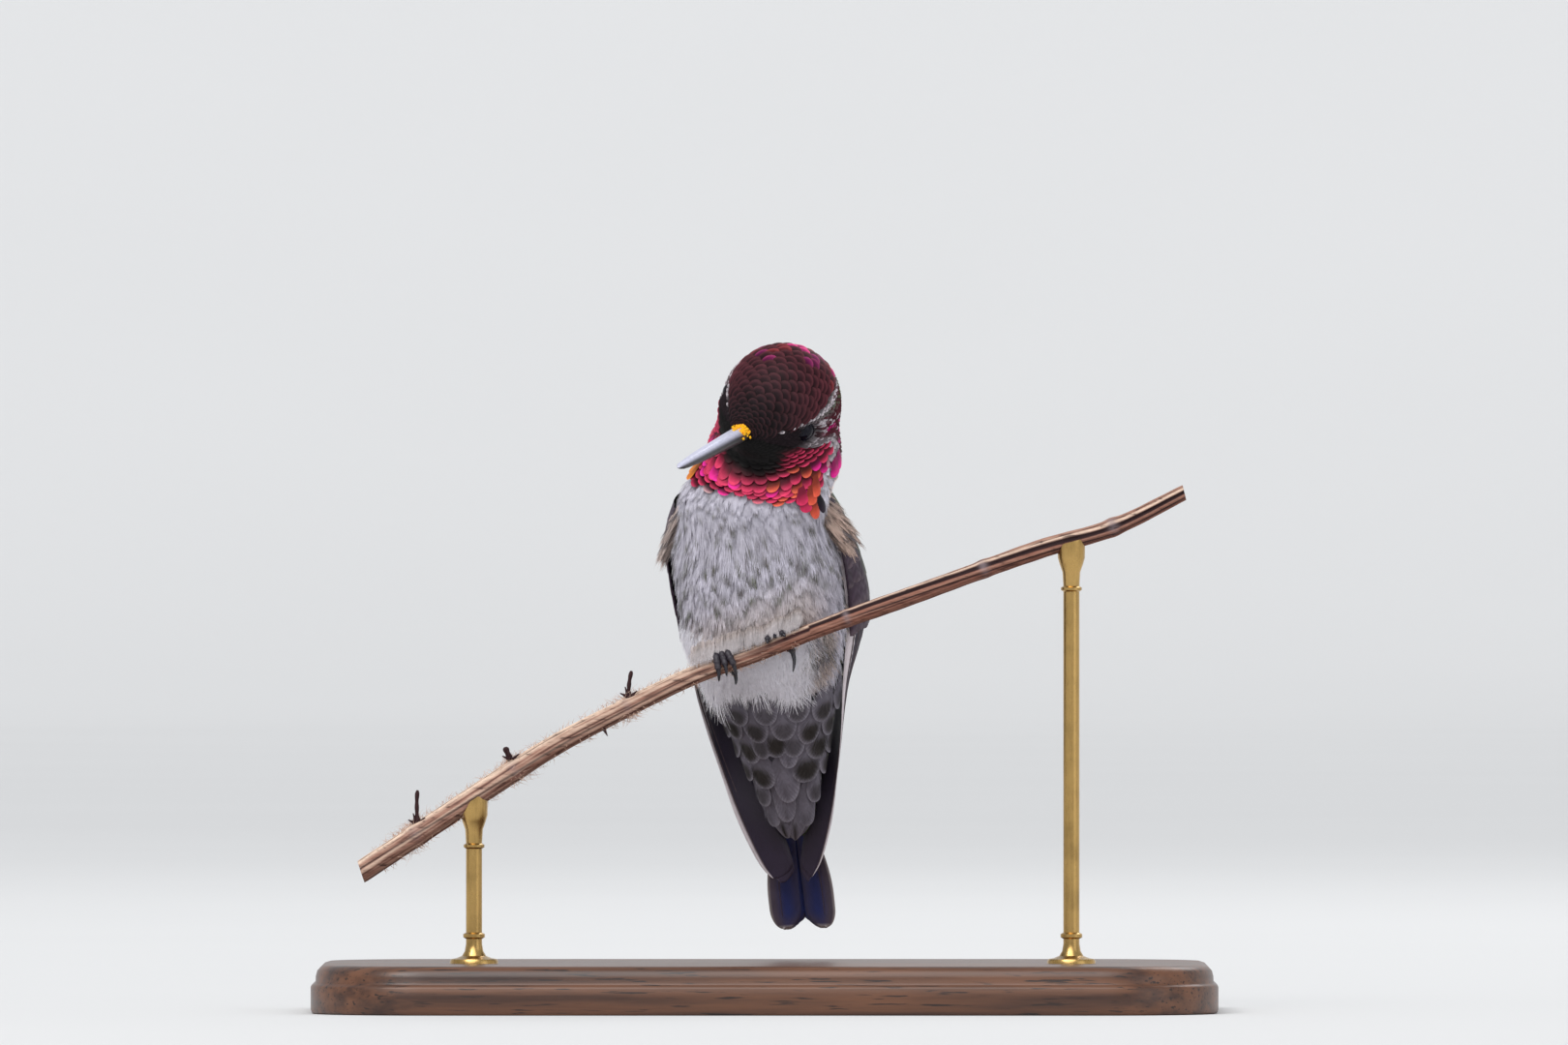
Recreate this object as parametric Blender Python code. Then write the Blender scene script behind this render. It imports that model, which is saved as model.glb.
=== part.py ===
"""A life-size museum model of a perched male Anna's hummingbird.

The bird faces -Y, leaning back with its tail away from the front. Its head turns to its right, dips and tilts.
It grips a short cut length of twig, and a plain base with two rods holds up the twig. The origin is the middle of
the base's underside, X runs along the base, and +Z is up. Sizes and places are millimetres until a mesh is made.
"""
import math

import bmesh
import bpy
import numpy as np
from mathutils import Vector

MM = 0.001
GAP = 0.3               # clear space left between two neighbouring solids
CLEARANCE_OUT = 3.0     # how far a wing's clearance reaches out of the body, so that no thin shell is left

# Stance of the body: degrees it is turned, leans back and rolls, and the middle of the breast
BODY_YAW = 12.0
BODY_LEAN = 23.0
BODY_ROLL = 2.3
BREAST = np.array([-0.8, 5.4, 54.0])

# Stance of the head, and the middle of the skull
HEAD_YAW = 27.5
HEAD_PITCH = 14.5
HEAD_TILT = 28.0
SKULL = np.array([2.0, -3.2, 75.2])

EYE_RADIUS = 1.75
EYE_PLACE = (3.4, 4.65, 0.1)    # forward of the skull's middle, sideways and up, in the head's frame

BILL_LENGTH = 18.0              # bare length, from the feathers to the tip
BILL_BURIED = 2.6               # root hidden in the head
BILL_HALF_WIDTH = (1.15, 1.12, 1.0, 0.86, 0.5)
BILL_UPPER_HEIGHT = (0.95, 0.9, 0.82, 0.7, 0.42)
BILL_LOWER_HEIGHT = (0.7, 0.66, 0.58, 0.5, 0.32)
BILL_LOWER_SHORT = 1.2          # how much sooner the lower half ends

WING_THICK = 0.7
WING_NOTCHES = 7
# Rows down the wing: distance towards the tail, then the leading edge, the outward corner and the trailing edge,
# each sideways and towards the back
WING_ROWS = (
    (-10.4, (8.6, -0.8), (11.0, 4.2), (5.2, 7.8)),
    (-5.5, (10.5, -0.8), (13.0, 5.0), (4.6, 9.8)),
    (1.0, (10.9, 0.0), (14.3, 6.2), (3.2, 10.8)),
    (8.0, (10.5, 0.8), (14.0, 6.4), (2.8, 10.0)),
    (15.0, (9.8, 1.5), (11.2, 5.8), (3.4, 8.2)),
    (21.5, (8.9, 1.8), (8.9, 4.6), (4.0, 6.2)),
    (28.0, (7.6, 2.0), (6.9, 3.4), (3.5, 3.9)),
    (33.5, (6.2, 1.9), (5.0, 2.2), (1.9, 2.5)),
    (39.0, (4.2, 1.6), (3.3, 1.6), (0.55, 1.8)),
    (42.2, (2.2, 1.2), (1.9, 1.2), (0.5, 1.4)),
)
WING_SWING = -0.9               # both wings' ends swing sideways, and a minus sign is towards the bird's right
WING_FLARE = 1.1                # how far the middle of both wings shifts to the bird's left
TUFT_SIZES = (1.9, 0.8, 5.6)    # tuft of feathers over each wing's bend: half its width, thickness and length
TUFT_PLACE = (11.2, 4.3, -4.2)
TUFT_TIP_OUT = 15.0             # degrees its tip stands out from the body

TAIL_THICK = 0.8
TAIL_DORSAL = 4.1               # how far behind the breast's middle it lies
TAIL_START = 16.0
TAIL_END = 50.0
TAIL_SWING = -0.6               # the same for the tail's end
TAIL_HALF_WIDTHS = (1.6, 1.9, 2.4, 3.3, 4.2, 4.2)   # evenly spaced from the root to the end
TAIL_NOTCH = 0.9                # depth of the notch between the two lobes
TAIL_CORNER = 3.4               # how far the outer feathers stop short of the lobes

PERCH_Y = -2.5
PERCH_LINE = (                  # x and z along the twig's middle
    (-50.0, 17.3), (-43.2, 21.8), (-31.2, 29.7), (-24.9, 33.6), (-17.0, 37.7), (-8.4, 41.8), (-1.5, 44.2),
    (7.2, 47.6), (19.2, 51.9), (34.2, 57.3), (43.2, 60.0), (52.0, 64.3),
)
PERCH_RADII = (
    (-50.0, 1.5), (-37.0, 1.5), (-25.0, 1.4), (-17.0, 1.28), (-9.0, 1.26), (-1.5, 1.14), (7.0, 1.02),
    (14.0, 1.16), (27.0, 1.12), (34.0, 1.18), (43.0, 1.1), (52.0, 0.95),
)
STUBS = (                       # dead side shoots: x, height, radii of foot and tip, sideways lean
    (-43.2, 4.2, 0.6, 0.28, 0.05), (-31.0, 1.7, 0.7, 0.4, -0.35), (-17.0, 3.3, 0.5, 0.28, 0.1),
)

TOE_RADIUS = 0.32
CLAW_RADIUS = 0.26
FEET_X = {"right": -4.9, "left": 1.7}   # where each foot holds the perch
TOE_SPREAD = 1.05               # between neighbouring front toes, along the perch
FOOT_HALF_WIDTH = 2.4           # of the room that a foot takes up along the perch
HIND_TOES = {"right": (0.9, 1.0), "left": (1.5, 2.2)}   # how far each slants along the perch and then hangs
FRONT_TOE_ENDS = {"right": -24.0, "left": 40.0}     # degrees round the twig, where 0 is its front
LEG_RADIUS = 0.45
HIP = (3.2, -3.2, 6.0)          # sideways, towards the back and towards the tail

BASE_SIZE = (112.0, 60.0, 6.0)
BASE_CORNER = 14.0
BASE_EDGE = 1.2
ROD_RADIUS = 1.0
ROD_X = {"left": -36.0, "right": 38.0}  # as seen by someone who faces the bird

BODY_RINGS = 36
BODY_SIDES = 32


# ---------------------------------------------------------------- directions and curves

def unit(vector):
    """The vector at length 1."""
    vector = np.asarray(vector, float)
    return vector / np.linalg.norm(vector, axis=-1, keepdims=True)


def turn(axis, degrees):
    """Matrix that turns a vector about an axis, by Rodrigues' formula."""
    x, y, z = unit(axis)
    angle = math.radians(degrees)
    cross = np.array([[0, -z, y], [z, 0, -x], [-y, x, 0]])
    return np.eye(3) + math.sin(angle) * cross + (1 - math.cos(angle)) * cross @ cross


def curve(points, share):
    """Catmull-Rom curve through the points, at a share 0 to 1 of the way along."""
    points = np.asarray(points, float)
    points = np.concatenate([[2 * points[0] - points[1]], points, [2 * points[-1] - points[-2]]])
    spans = len(points) - 3
    place = np.clip(np.asarray(share, float) * spans, 0, spans - 1e-9)
    index = place.astype(int)
    w = (place - index).reshape(place.shape + (1,) * (points.ndim - 1))
    a, b, c, d = points[index], points[index + 1], points[index + 2], points[index + 3]
    return b + 0.5 * w * (c - a + w * (2 * a - 5 * b + 4 * c - d + w * (3 * (b - c) + d - a)))


def smooth(low, high, value):
    """0 below low, 1 above high, and an S-curve between."""
    share = np.clip((value - low) / (high - low), 0, 1)
    return share * share * (3 - 2 * share)


UP = np.array([0.0, 0.0, 1.0])
LEVEL_LEFT = turn(UP, -BODY_YAW) @ np.array([1.0, 0.0, 0.0])
LEVEL_BACK = turn(UP, -BODY_YAW) @ np.array([0.0, 1.0, 0.0])
LEANING = turn(LEVEL_BACK, -BODY_ROLL) @ turn(LEVEL_LEFT, BODY_LEAN)
LEFT = LEANING @ LEVEL_LEFT
BACK = LEANING @ LEVEL_BACK
TAILWARD = LEANING @ -UP

LEVEL_CHEEK = turn(UP, -HEAD_YAW) @ np.array([1.0, 0.0, 0.0])
BILLWARD = turn(LEVEL_CHEEK, HEAD_PITCH) @ turn(UP, -HEAD_YAW) @ np.array([0.0, -1.0, 0.0])
TILTING = turn(BILLWARD, -HEAD_TILT)
CHEEK = TILTING @ LEVEL_CHEEK
CROWN = TILTING @ np.cross(LEVEL_CHEEK, BILLWARD) * -1.0


def on_body(left, back, tailward):
    """Place in the leaning body's own frame."""
    return BREAST + left * LEFT + back * BACK + tailward * TAILWARD


def on_head(forward, left, up):
    """Place in the tilted head's own frame."""
    return SKULL + forward * BILLWARD + left * CHEEK + up * CROWN


# ---------------------------------------------------------------- the feathered body

HEAD_AXES = np.stack([BILLWARD, CHEEK, CROWN])
BODY_AXES = np.stack([LEFT, BACK, TAILWARD])
LUMPS = (   # centre, axes and half-sizes of each rounded mass
    (on_head(0.0, 0.0, 0.2), HEAD_AXES, (7.8, 7.2, 7.5)),       # skull
    (on_head(3.6, 0.0, -1.0), HEAD_AXES, (5.0, 4.8, 4.4)),      # face
    (on_head(7.0, 0.0, -1.4), HEAD_AXES, (3.2, 2.1, 2.0)),      # feathers round the bill
    (on_body(3.6, 1.7, -15.4), BODY_AXES, (8.3, 7.6, 7.4)),     # neck
    (on_body(0.9, -2.6, -11.0), BODY_AXES, (9.4, 6.6, 6.6)),    # throat
    (on_body(0.1, 0.0, -2.5), BODY_AXES, (10.8, 10.0, 11.0)),   # breast
    (on_body(0.1, -0.6, 5.5), BODY_AXES, (10.5, 8.8, 11.0)),    # belly
    (on_body(0.2, 0.2, 13.0), BODY_AXES, (8.6, 6.6, 9.5)),      # vent
    (on_body(0.2, 0.8, 20.0), BODY_AXES, (6.2, 4.5, 9.5)),      # rump
    (on_body(0.1, 0.9, 28.0), BODY_AXES, (4.2, 2.8, 8.3)),      # tail coverts
)
BLEND = 1.0             # how softly the masses flow into each other

SPINE = (               # from behind the bill, down the neck and along the back
    on_head(4.4, 0, -1.7), on_head(0.4, 0, -2.8), on_body(1.6, 0.6, -14.5), on_body(0.5, 0.4, -8.5),
    on_body(0.1, 0.2, 0.0), on_body(0.0, 0.3, 9.0), on_body(0.0, 0.6, 17.5), on_body(0.0, 0.9, 25.5),
    on_body(0.1, 0.9, 31.5), on_body(0.1, 0.9, 34.5),
)
BILL_ROOT = on_head(9.4, 0.0, -1.3)
FACE_SHARE = 0.12       # share of the way down that fans out from the bill
END_SHARE = 0.05        # share at the end that closes in on the coverts' tip
TURNED_SHARE = 0.42     # here the rings have turned from the head's direction to the body's
NECK_TIP = 50.0         # degrees the head's rings tip back, so that they don't cross at the throat
REACH = 20.0            # a ray surely leaves the body within this length


def depth_outside(points):
    """Soft distance from the body: negative inside. Each mass gives about the distance to its own surface, and
    the soft least of them is m - BLEND * log(sum of exp(-(d - m) / BLEND))."""
    distances = []
    for centre, axes, sizes in LUMPS:
        local = (points - centre) @ axes.T
        near = np.linalg.norm(local / sizes, axis=-1)
        steep = np.linalg.norm(local / np.square(sizes), axis=-1)
        distances.append(near * (near - 1) / np.maximum(steep, 1e-9))
    distances = np.stack(distances)
    least = distances.min(axis=0)
    return least - BLEND * np.log(np.exp((least - distances) / BLEND).sum(axis=0))


def ring_axes(share):
    """Tailward, crown or back, and left directions of the ring at each share of the way: they turn about one
    axis from the head's frame to the body's."""
    tipped = turn(CHEEK, -NECK_TIP)
    head = np.stack([-(tipped @ BILLWARD), tipped @ CROWN, CHEEK])
    body = np.stack([TAILWARD, BACK, LEFT])
    change = body.T @ head
    angle = math.degrees(math.acos((np.trace(change) - 1) / 2))
    axis = (change[2, 1] - change[1, 2], change[0, 2] - change[2, 0], change[1, 0] - change[0, 1])
    gone = np.clip((np.ravel(share) - FACE_SHARE) / (TURNED_SHARE - FACE_SHARE), 0, 1)
    gone = 0.65 * gone + 0.35 * smooth(0, 1, gone)
    turned = [head @ turn(axis, angle * step).T for step in gone]
    return np.array(turned).reshape(np.shape(share) + (3, 3))


def plumage(share, round_share, inset=0.0):
    """Point on the body: share runs from the bill to the coverts' tip, and round_share from the crown and back (0)
    by the left side (0.25) to the throat and belly (0.5). A ray leaves the spine, fanning forward at the face and
    back at the tip, and stops where it first comes out."""
    share, round_share = np.broadcast_arrays(share, round_share)
    middle = curve(SPINE, np.clip((share - FACE_SHARE) / (1 - FACE_SHARE - END_SHARE), 0, 1))
    axes = ring_axes(share)
    angle = 2 * np.pi * round_share[..., None]
    around = np.cos(angle) * axes[..., 1, :] + np.sin(angle) * axes[..., 2, :]
    to_bill = (np.pi / 2 * (1 - np.clip(share / FACE_SHARE, 0, 1)))[..., None]
    to_tip = (np.pi / 2 * np.clip((share - 1 + END_SHARE) / END_SHARE, 0, 1))[..., None]
    ahead = np.sin(to_bill) * unit(BILL_ROOT - SPINE[0]) + np.sin(to_tip) * TAILWARD
    ray = unit(np.cos(to_bill) * np.cos(to_tip) * around + ahead)
    steps = np.linspace(0, REACH, 51)
    outside = depth_outside(middle[..., None, :] + steps[:, None] * ray[..., None, :]) > -inset
    first = np.argmax(outside, axis=-1)
    far = steps[first]
    near = steps[np.maximum(first - 1, 0)]
    for _ in range(14):
        half = (near + far) / 2
        inside = depth_outside(middle + half[..., None] * ray) < -inset
        near = np.where(inside, half, near)
        far = np.where(inside, far, half)
    return middle + near[..., None] * ray


# ---------------------------------------------------------------- making solids

def finish_of(name, colour, roughness, metallic=0.0):
    """Plain material of one sub-part."""
    material = bpy.data.materials.new(name)
    material.use_nodes = True
    shader = material.node_tree.nodes["Principled BSDF"]
    shader.inputs["Base Color"].default_value = (*colour, 1.0)
    shader.inputs["Roughness"].default_value = roughness
    shader.inputs["Metallic"].default_value = metallic
    return material


def add_object(name, shape, material=None, parent=None):
    """Object from a bmesh, which is used up. Without a material it is a hidden cutter."""
    bmesh.ops.recalc_face_normals(shape, faces=shape.faces)
    mesh = bpy.data.meshes.new(name)
    shape.to_mesh(mesh)
    shape.free()
    mesh.shade_smooth()
    mesh.set_sharp_from_angle(angle=math.radians(40))
    item = bpy.data.objects.new(name, mesh)
    bpy.context.collection.objects.link(item)
    item.parent = parent
    if material:
        mesh.materials.append(material)
    else:
        item.hide_render = True
        item.display_type = "WIRE"
    return item


def loft(rings, poles=None, flat=False):
    """Closed skin over rings of points, each ring closed on itself. The ends are fans of faces round two pole
    points, which are the end rings' own middles if none are given. A flat shape's ends are strips instead, between
    the first and second halves of each end ring."""
    shape = bmesh.new()
    rows = [[shape.verts.new(Vector(point) * MM) for point in ring] for ring in rings]
    for row, following in zip(rows, rows[1:]):
        for i in range(len(row)):
            j = (i + 1) % len(row)
            shape.faces.new((row[i], row[j], following[j], following[i]))
    if flat:
        for row in (rows[0], rows[-1]):
            for i in range(len(row) // 2 - 1):
                shape.faces.new((row[i], row[i + 1], row[-i - 2], row[-i - 1]))
        return shape
    if poles is None:
        poles = (np.mean(rings[0], axis=0), np.mean(rings[-1], axis=0))
    for row, pole in zip((rows[0], rows[-1]), poles):
        centre = shape.verts.new(Vector(pole) * MM)
        for i in range(len(row)):
            shape.faces.new((row[i], row[(i + 1) % len(row)], centre))
    return shape


def tube(path, radii, sides):
    """Round bar along a path, with rings square to it."""
    path = np.asarray(path, float)
    along = unit(np.gradient(path, axis=0))
    side = unit(np.cross(along, [0.31, 0.27, 0.91]))
    up = np.cross(side, along)
    angle = np.linspace(0, 2 * np.pi, sides, endpoint=False)[None, :, None]
    radii = np.broadcast_to(radii, len(path))[:, None, None]
    return loft(path[:, None] + radii * (np.cos(angle) * side[:, None] + np.sin(angle) * up[:, None]))


def plate(middle, out, outer, inner):
    """Closed plate: a grid of points thickened outwards along out by outer, and inwards by inner."""
    above = middle + outer * out
    below = middle - inner * out
    return loft(np.concatenate([above, below[:, ::-1]], axis=1), flat=True)


def outward(grid, reference):
    """Directions square to a grid of points, on the side away from the reference points."""
    square = unit(np.cross(np.gradient(grid, axis=0), np.gradient(grid, axis=1)))
    return square * np.sign(((grid - reference) * square).sum())


def cut(target, *cutters):
    """Take hidden cutters away from a solid."""
    for cutter in cutters:
        modifier = target.modifiers.new(cutter.name, "BOOLEAN")
        modifier.operation = "DIFFERENCE"
        modifier.object = cutter


def join(target, *pieces):
    """Unite hidden pieces with a solid."""
    for piece in pieces:
        modifier = target.modifiers.new(piece.name, "BOOLEAN")
        modifier.operation = "UNION"
        modifier.object = piece


# ---------------------------------------------------------------- head, neck, trunk and tail coverts

def parting(point, normal):
    """The two faces of a thin cut: points on either side of it, and its direction."""
    normal = unit(normal)
    return point - normal * GAP / 2, point + normal * GAP / 2, normal


def body_part(name, start, end, material, parent):
    """Length of the body between two thin cuts, either of which may be missing at the ends."""
    shares = np.linspace(0, 1, BODY_RINGS + 1)[1:-1, None]
    rounds = np.linspace(0, 1, BODY_SIDES, endpoint=False)[None, :]
    rings = plumage(shares, rounds)
    shape = loft(rings, poles=plumage(np.array([0.0, 1.0]), np.zeros(2)))
    for cut_faces, behind in ((start, True), (end, False)):
        if cut_faces is None:
            continue
        before, after, normal = cut_faces
        geometry = shape.verts[:] + shape.edges[:] + shape.faces[:]
        place = Vector(after if behind else before) * MM
        bmesh.ops.bisect_plane(shape, geom=geometry, dist=1e-7, plane_co=place, plane_no=Vector(normal),
                               clear_inner=behind, clear_outer=not behind)
        rim = [edge for edge in shape.edges if edge.is_boundary]
        bmesh.ops.edgeloop_fill(shape, edges=rim)
    return add_object(name, shape, material, parent)


def make_body(parent):
    """The four fleshy parts with the feathers' outline."""
    brown = finish_of("crown_plumage", (0.16, 0.05, 0.05), 0.5)
    rose = finish_of("throat_plumage", (0.5, 0.05, 0.12), 0.4)
    grey = finish_of("breast_plumage", (0.36, 0.34, 0.37), 0.8)
    pale = finish_of("covert_plumage", (0.25, 0.24, 0.24), 0.8)
    jaw = parting(on_head(-2.0, 0.0, -6.0), TAILWARD - 0.3 * BILLWARD)
    shoulders = parting(on_body(0.0, 0.0, -12.2), TAILWARD)
    hips = parting(on_body(0.0, 0.0, 17.0), TAILWARD)
    head = body_part("head", None, jaw, brown, parent)
    neck = body_part("neck", jaw, shoulders, rose, parent)
    trunk = body_part("trunk", shoulders, hips, grey, parent)
    coverts = body_part("tail_coverts", hips, None, pale, parent)
    return head, neck, trunk, coverts


# ---------------------------------------------------------------- eyes and bill

def ball(centre, sizes, axes, columns=12, rows=8):
    """Closed ellipsoid: x = a cos(t) cos(p), y = b cos(t) sin(p), z = c sin(t) along its axes."""
    tilt = np.linspace(-np.pi / 2, np.pi / 2, rows + 2)[1:-1, None, None]
    angle = np.linspace(0, 2 * np.pi, columns, endpoint=False)[None, :, None]
    rings = (np.cos(tilt) * np.cos(angle) * sizes[0] * axes[0] + np.cos(tilt) * np.sin(angle) * sizes[1] * axes[1]
             + np.sin(tilt) * sizes[2] * axes[2] + centre)
    return loft(rings, poles=(centre - sizes[2] * axes[2], centre + sizes[2] * axes[2]))


def make_eyes(head, parent):
    """Two round eyes, sunk in sockets cut into the head."""
    dark = finish_of("eye_dark", (0.01, 0.008, 0.01), 0.08)
    forward, sideways, up = EYE_PLACE
    for side, sign in (("left", 1), ("right", -1)):
        centre = on_head(forward, sign * sideways, up)
        add_object(f"eye_{side}", ball(centre, [EYE_RADIUS] * 3, HEAD_AXES), dark, parent)
        socket = add_object(f"socket_{side}", ball(centre, [EYE_RADIUS + GAP] * 3, HEAD_AXES))
        cut(head, socket)


def half_bill(length, heights, upward):
    """One half of the bill: half an ellipse, flat on the seam, carried from its buried root to its tip. At each
    place the rim is (cos(a) * half width, sin(a) * height) for a from 0 to 180 degrees."""
    share = np.linspace(0, 1, 12)
    forward = -BILL_BURIED + share * (length + BILL_BURIED)
    width = curve(BILL_HALF_WIDTH, share)[:, None, None]
    height = curve(heights, share)[:, None, None]
    angle = np.linspace(0, np.pi, 9)[None, :, None]
    middle = BILL_ROOT + forward[:, None, None] * BILLWARD + upward * GAP / 2 * CROWN
    rings = middle + np.cos(angle) * width * CHEEK + upward * np.sin(angle) * height * CROWN
    return loft(rings)


def make_bill(head, parent):
    """Upper and lower halves of the closed bill, and the pocket that they come out of."""
    horn = finish_of("bill_horn", (0.045, 0.04, 0.045), 0.35)
    add_object("bill_upper", half_bill(BILL_LENGTH, BILL_UPPER_HEIGHT, 1), horn, parent)
    add_object("bill_lower", half_bill(BILL_LENGTH - BILL_LOWER_SHORT, BILL_LOWER_HEIGHT, -1), horn, parent)
    buried = np.linspace(-BILL_BURIED - GAP, BILL_BURIED, 4)[:, None]
    pocket = tube(BILL_ROOT + buried * BILLWARD, BILL_HALF_WIDTH[0] + 1.2 * GAP, 16)
    cut(head, add_object("bill_pocket", pocket))


# ---------------------------------------------------------------- wings and tail

def wing_grid(sign, rows=25, columns=6):
    """Middle surface of a folded wing. Across, each row is a quadratic curve from the leading edge past the
    corner to the trailing edge; down the wing the rows follow smooth curves. The trailing edge steps in at each
    feather's tip by a saw-tooth of the way down."""
    down = np.linspace(0, 1, rows)
    tailward = curve([row[0] for row in WING_ROWS], down)
    lead, corner, trail = (curve([row[i] for row in WING_ROWS], down)[:, None] for i in (1, 2, 3))
    tooth = (down * WING_NOTCHES) % 1.0 * smooth(0.3, 0.5, down) * smooth(1.0, 0.9, down)
    trail = trail + 0.18 * tooth[:, None, None] * (lead - trail)
    t = np.linspace(0, 1, columns)[None, :, None]
    flat = (1 - t) ** 2 * lead + 2 * t * (1 - t) * corner + t ** 2 * trail
    flare = WING_FLARE * smooth(-8.0, 6.0, tailward) * smooth(20.0, 8.0, tailward)
    bulged = np.sin(np.pi * t[..., 0]) * flare[:, None]
    swing = WING_SWING * (1 - 0.9 * t[..., 0]) * smooth(4.0, 18.0, tailward)[:, None]
    sideways = sign * flat[..., 0] + bulged + swing
    grid = (BREAST + sideways[..., None] * LEFT + flat[..., 1:] * BACK + tailward[:, None, None] * TAILWARD)
    spine = BREAST - 3.0 * BACK + tailward[:, None, None] * TAILWARD
    return grid, outward(grid, spine)


def make_wings(trunk, coverts, neck, parent):
    """Folded wings that lie in the body's flanks, and the room they need there."""
    dusky = finish_of("wing_dusky", (0.055, 0.04, 0.055), 0.5)
    half = WING_THICK / 2
    for side, sign in (("left", 1), ("right", -1)):
        grid, out = wing_grid(sign)
        wing = add_object(f"wing_{side}", plate(grid, out, half, half), dusky, parent)
        tilt = turn(BACK, -sign * TUFT_TIP_OUT)
        tuft_axes = np.stack([BACK, tilt @ LEFT, tilt @ TAILWARD])
        tuft_middle = on_body(sign * TUFT_PLACE[0], TUFT_PLACE[1], TUFT_PLACE[2])
        join(wing, add_object(f"tuft_{side}", ball(tuft_middle, TUFT_SIZES, tuft_axes, 10, 7)))
        wide_grid = grid + 2 * GAP * rim_directions(grid)
        room = add_object(f"wing_room_{side}", plate(wide_grid, out, CLEARANCE_OUT, half + GAP))
        cut(trunk, room)
        cut(coverts, room)
        cut(neck, room)


def rim_directions(grid):
    """Unit directions that spread a grid's rim outwards in its own surface, and nothing inside it."""
    spread = np.zeros_like(grid)
    spread[:, 0] += unit(grid[:, 0] - grid[:, 1])
    spread[:, -1] += unit(grid[:, -1] - grid[:, -2])
    spread[0] += unit(grid[0] - grid[1])
    spread[-1] += unit(grid[-1] - grid[-2])
    return spread


def tail_grid(rows=13, columns=9, pad=0.0):
    """Middle surface of the tail. The rows spread from the root to the end, and the end is two lobes: it stops
    short by TAIL_NOTCH in the middle and by TAIL_CORNER at the sides."""
    down = np.linspace(0, 1, rows)[:, None]
    across = np.linspace(-1, 1, columns)[None, :]
    lobes = 1 - np.abs(np.abs(across) * 2.2 - 1) ** 2.4
    short = np.where(np.abs(across) * 2.2 < 1, TAIL_NOTCH, TAIL_CORNER * 0.7) * (1 - lobes)
    tailward = TAIL_START + (TAIL_END - short + pad - TAIL_START) * down
    half_width = curve(TAIL_HALF_WIDTHS, down[:, 0])[:, None] + pad
    sideways = across * half_width + TAIL_SWING * smooth(TAIL_START, TAIL_END, tailward)
    back = TAIL_DORSAL - 0.5 * across ** 2 * down
    return BREAST + sideways[..., None] * LEFT + back[..., None] * BACK + tailward[..., None] * TAILWARD


def make_tail(coverts, trunk, parent):
    """Closed tail, rooted in a slot between the upper and lower coverts."""
    blue = finish_of("tail_dark", (0.02, 0.025, 0.05), 0.45)
    grid = tail_grid()
    reference = grid[:, 4:5] - 5.0 * BACK
    add_object("tail", plate(grid, outward(grid, reference), TAIL_THICK / 2, TAIL_THICK / 2), blue, parent)
    wide = tail_grid(pad=GAP)
    wide[0] -= GAP * TAILWARD
    half = TAIL_THICK / 2 + GAP
    slot = add_object("tail_slot", plate(wide, outward(wide, reference), half, half))
    cut(coverts, slot)
    cut(trunk, slot)


# ---------------------------------------------------------------- perch, feet and legs

def perch_middle(x):
    """Place on the twig's middle line at each x, from an even curve through PERCH_LINE."""
    line = curve(PERCH_LINE, np.linspace(0, 1, 200))
    return np.stack([x, np.full_like(x, PERCH_Y), np.interp(x, line[:, 0], line[:, 1])], axis=-1)


def perch_radius(x):
    """The twig's radius at each x."""
    places, radii = zip(*PERCH_RADII)
    return np.interp(x, places, radii)


def make_perch(trunk):
    """Short cut length of twig with its dead stubs, and the room it needs in front of the belly."""
    bark = finish_of("twig_bark", (0.28, 0.17, 0.11), 0.8)
    x = np.linspace(PERCH_LINE[0][0], PERCH_LINE[-1][0], 34)
    perch = add_object("perch", tube(perch_middle(x), perch_radius(x), 10), bark)
    rise = np.linspace(0, 1, 5)
    for number, (stub_x, height, foot, tip, lean) in enumerate(STUBS):
        root = perch_middle(np.array([stub_x]))[0]
        way = unit([lean, -0.15, 1.0])
        path = root + (perch_radius(stub_x) + height) * rise[:, None] * way
        join(perch, add_object(f"stub_{number}", tube(path, np.linspace(foot, tip, 5), 7)))
    near = np.linspace(-14, 16, 31)
    feet = np.array(list(FEET_X.values()))[:, None]
    at_foot = smooth(FOOT_HALF_WIDTH + 1.0, FOOT_HALF_WIDTH, np.abs(near - feet)).max(axis=0)
    room = perch_radius(near) + GAP + at_foot * (2 * TOE_RADIUS + 1.5 * GAP)
    cut(trunk, add_object("perch_room", tube(perch_middle(near), room, 12)))


def around_perch(x, degrees, radius):
    """Place round the twig at x: 0 degrees is its front, 90 its top and 180 its back."""
    x = np.asarray(x, float)
    ahead = unit(perch_middle(x + 0.5) - perch_middle(x - 0.5))
    top = unit(np.cross(ahead, [0.0, 1.0, 0.0]))
    top = top * np.sign(top[..., 2:])
    angle = np.radians(np.asarray(degrees, float))[..., None]
    radius = np.asarray(radius, float)[..., None]
    return perch_middle(x) + radius * (np.cos(angle) * np.array([0.0, -1.0, 0.0]) + np.sin(angle) * top)


def toe(x_start, x_end, start, end, claw_drop):
    """One toe with its claw, wrapped round the twig from the angle start to the angle end. The claw leaves the
    twig and hangs by claw_drop."""
    share = np.linspace(0, 1, 9)
    x = x_start + (x_end - x_start) * share
    hold = perch_radius(x) + GAP + TOE_RADIUS + 0.05
    path = around_perch(x, start + (end - start) * share, hold + 0.25 * smooth(0.75, 1, share))
    path[:, 2] -= claw_drop * smooth(0.8, 1.1, share)
    return tube(path, TOE_RADIUS + (CLAW_RADIUS - TOE_RADIUS) * smooth(0.6, 1.0, share), 6)


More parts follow.
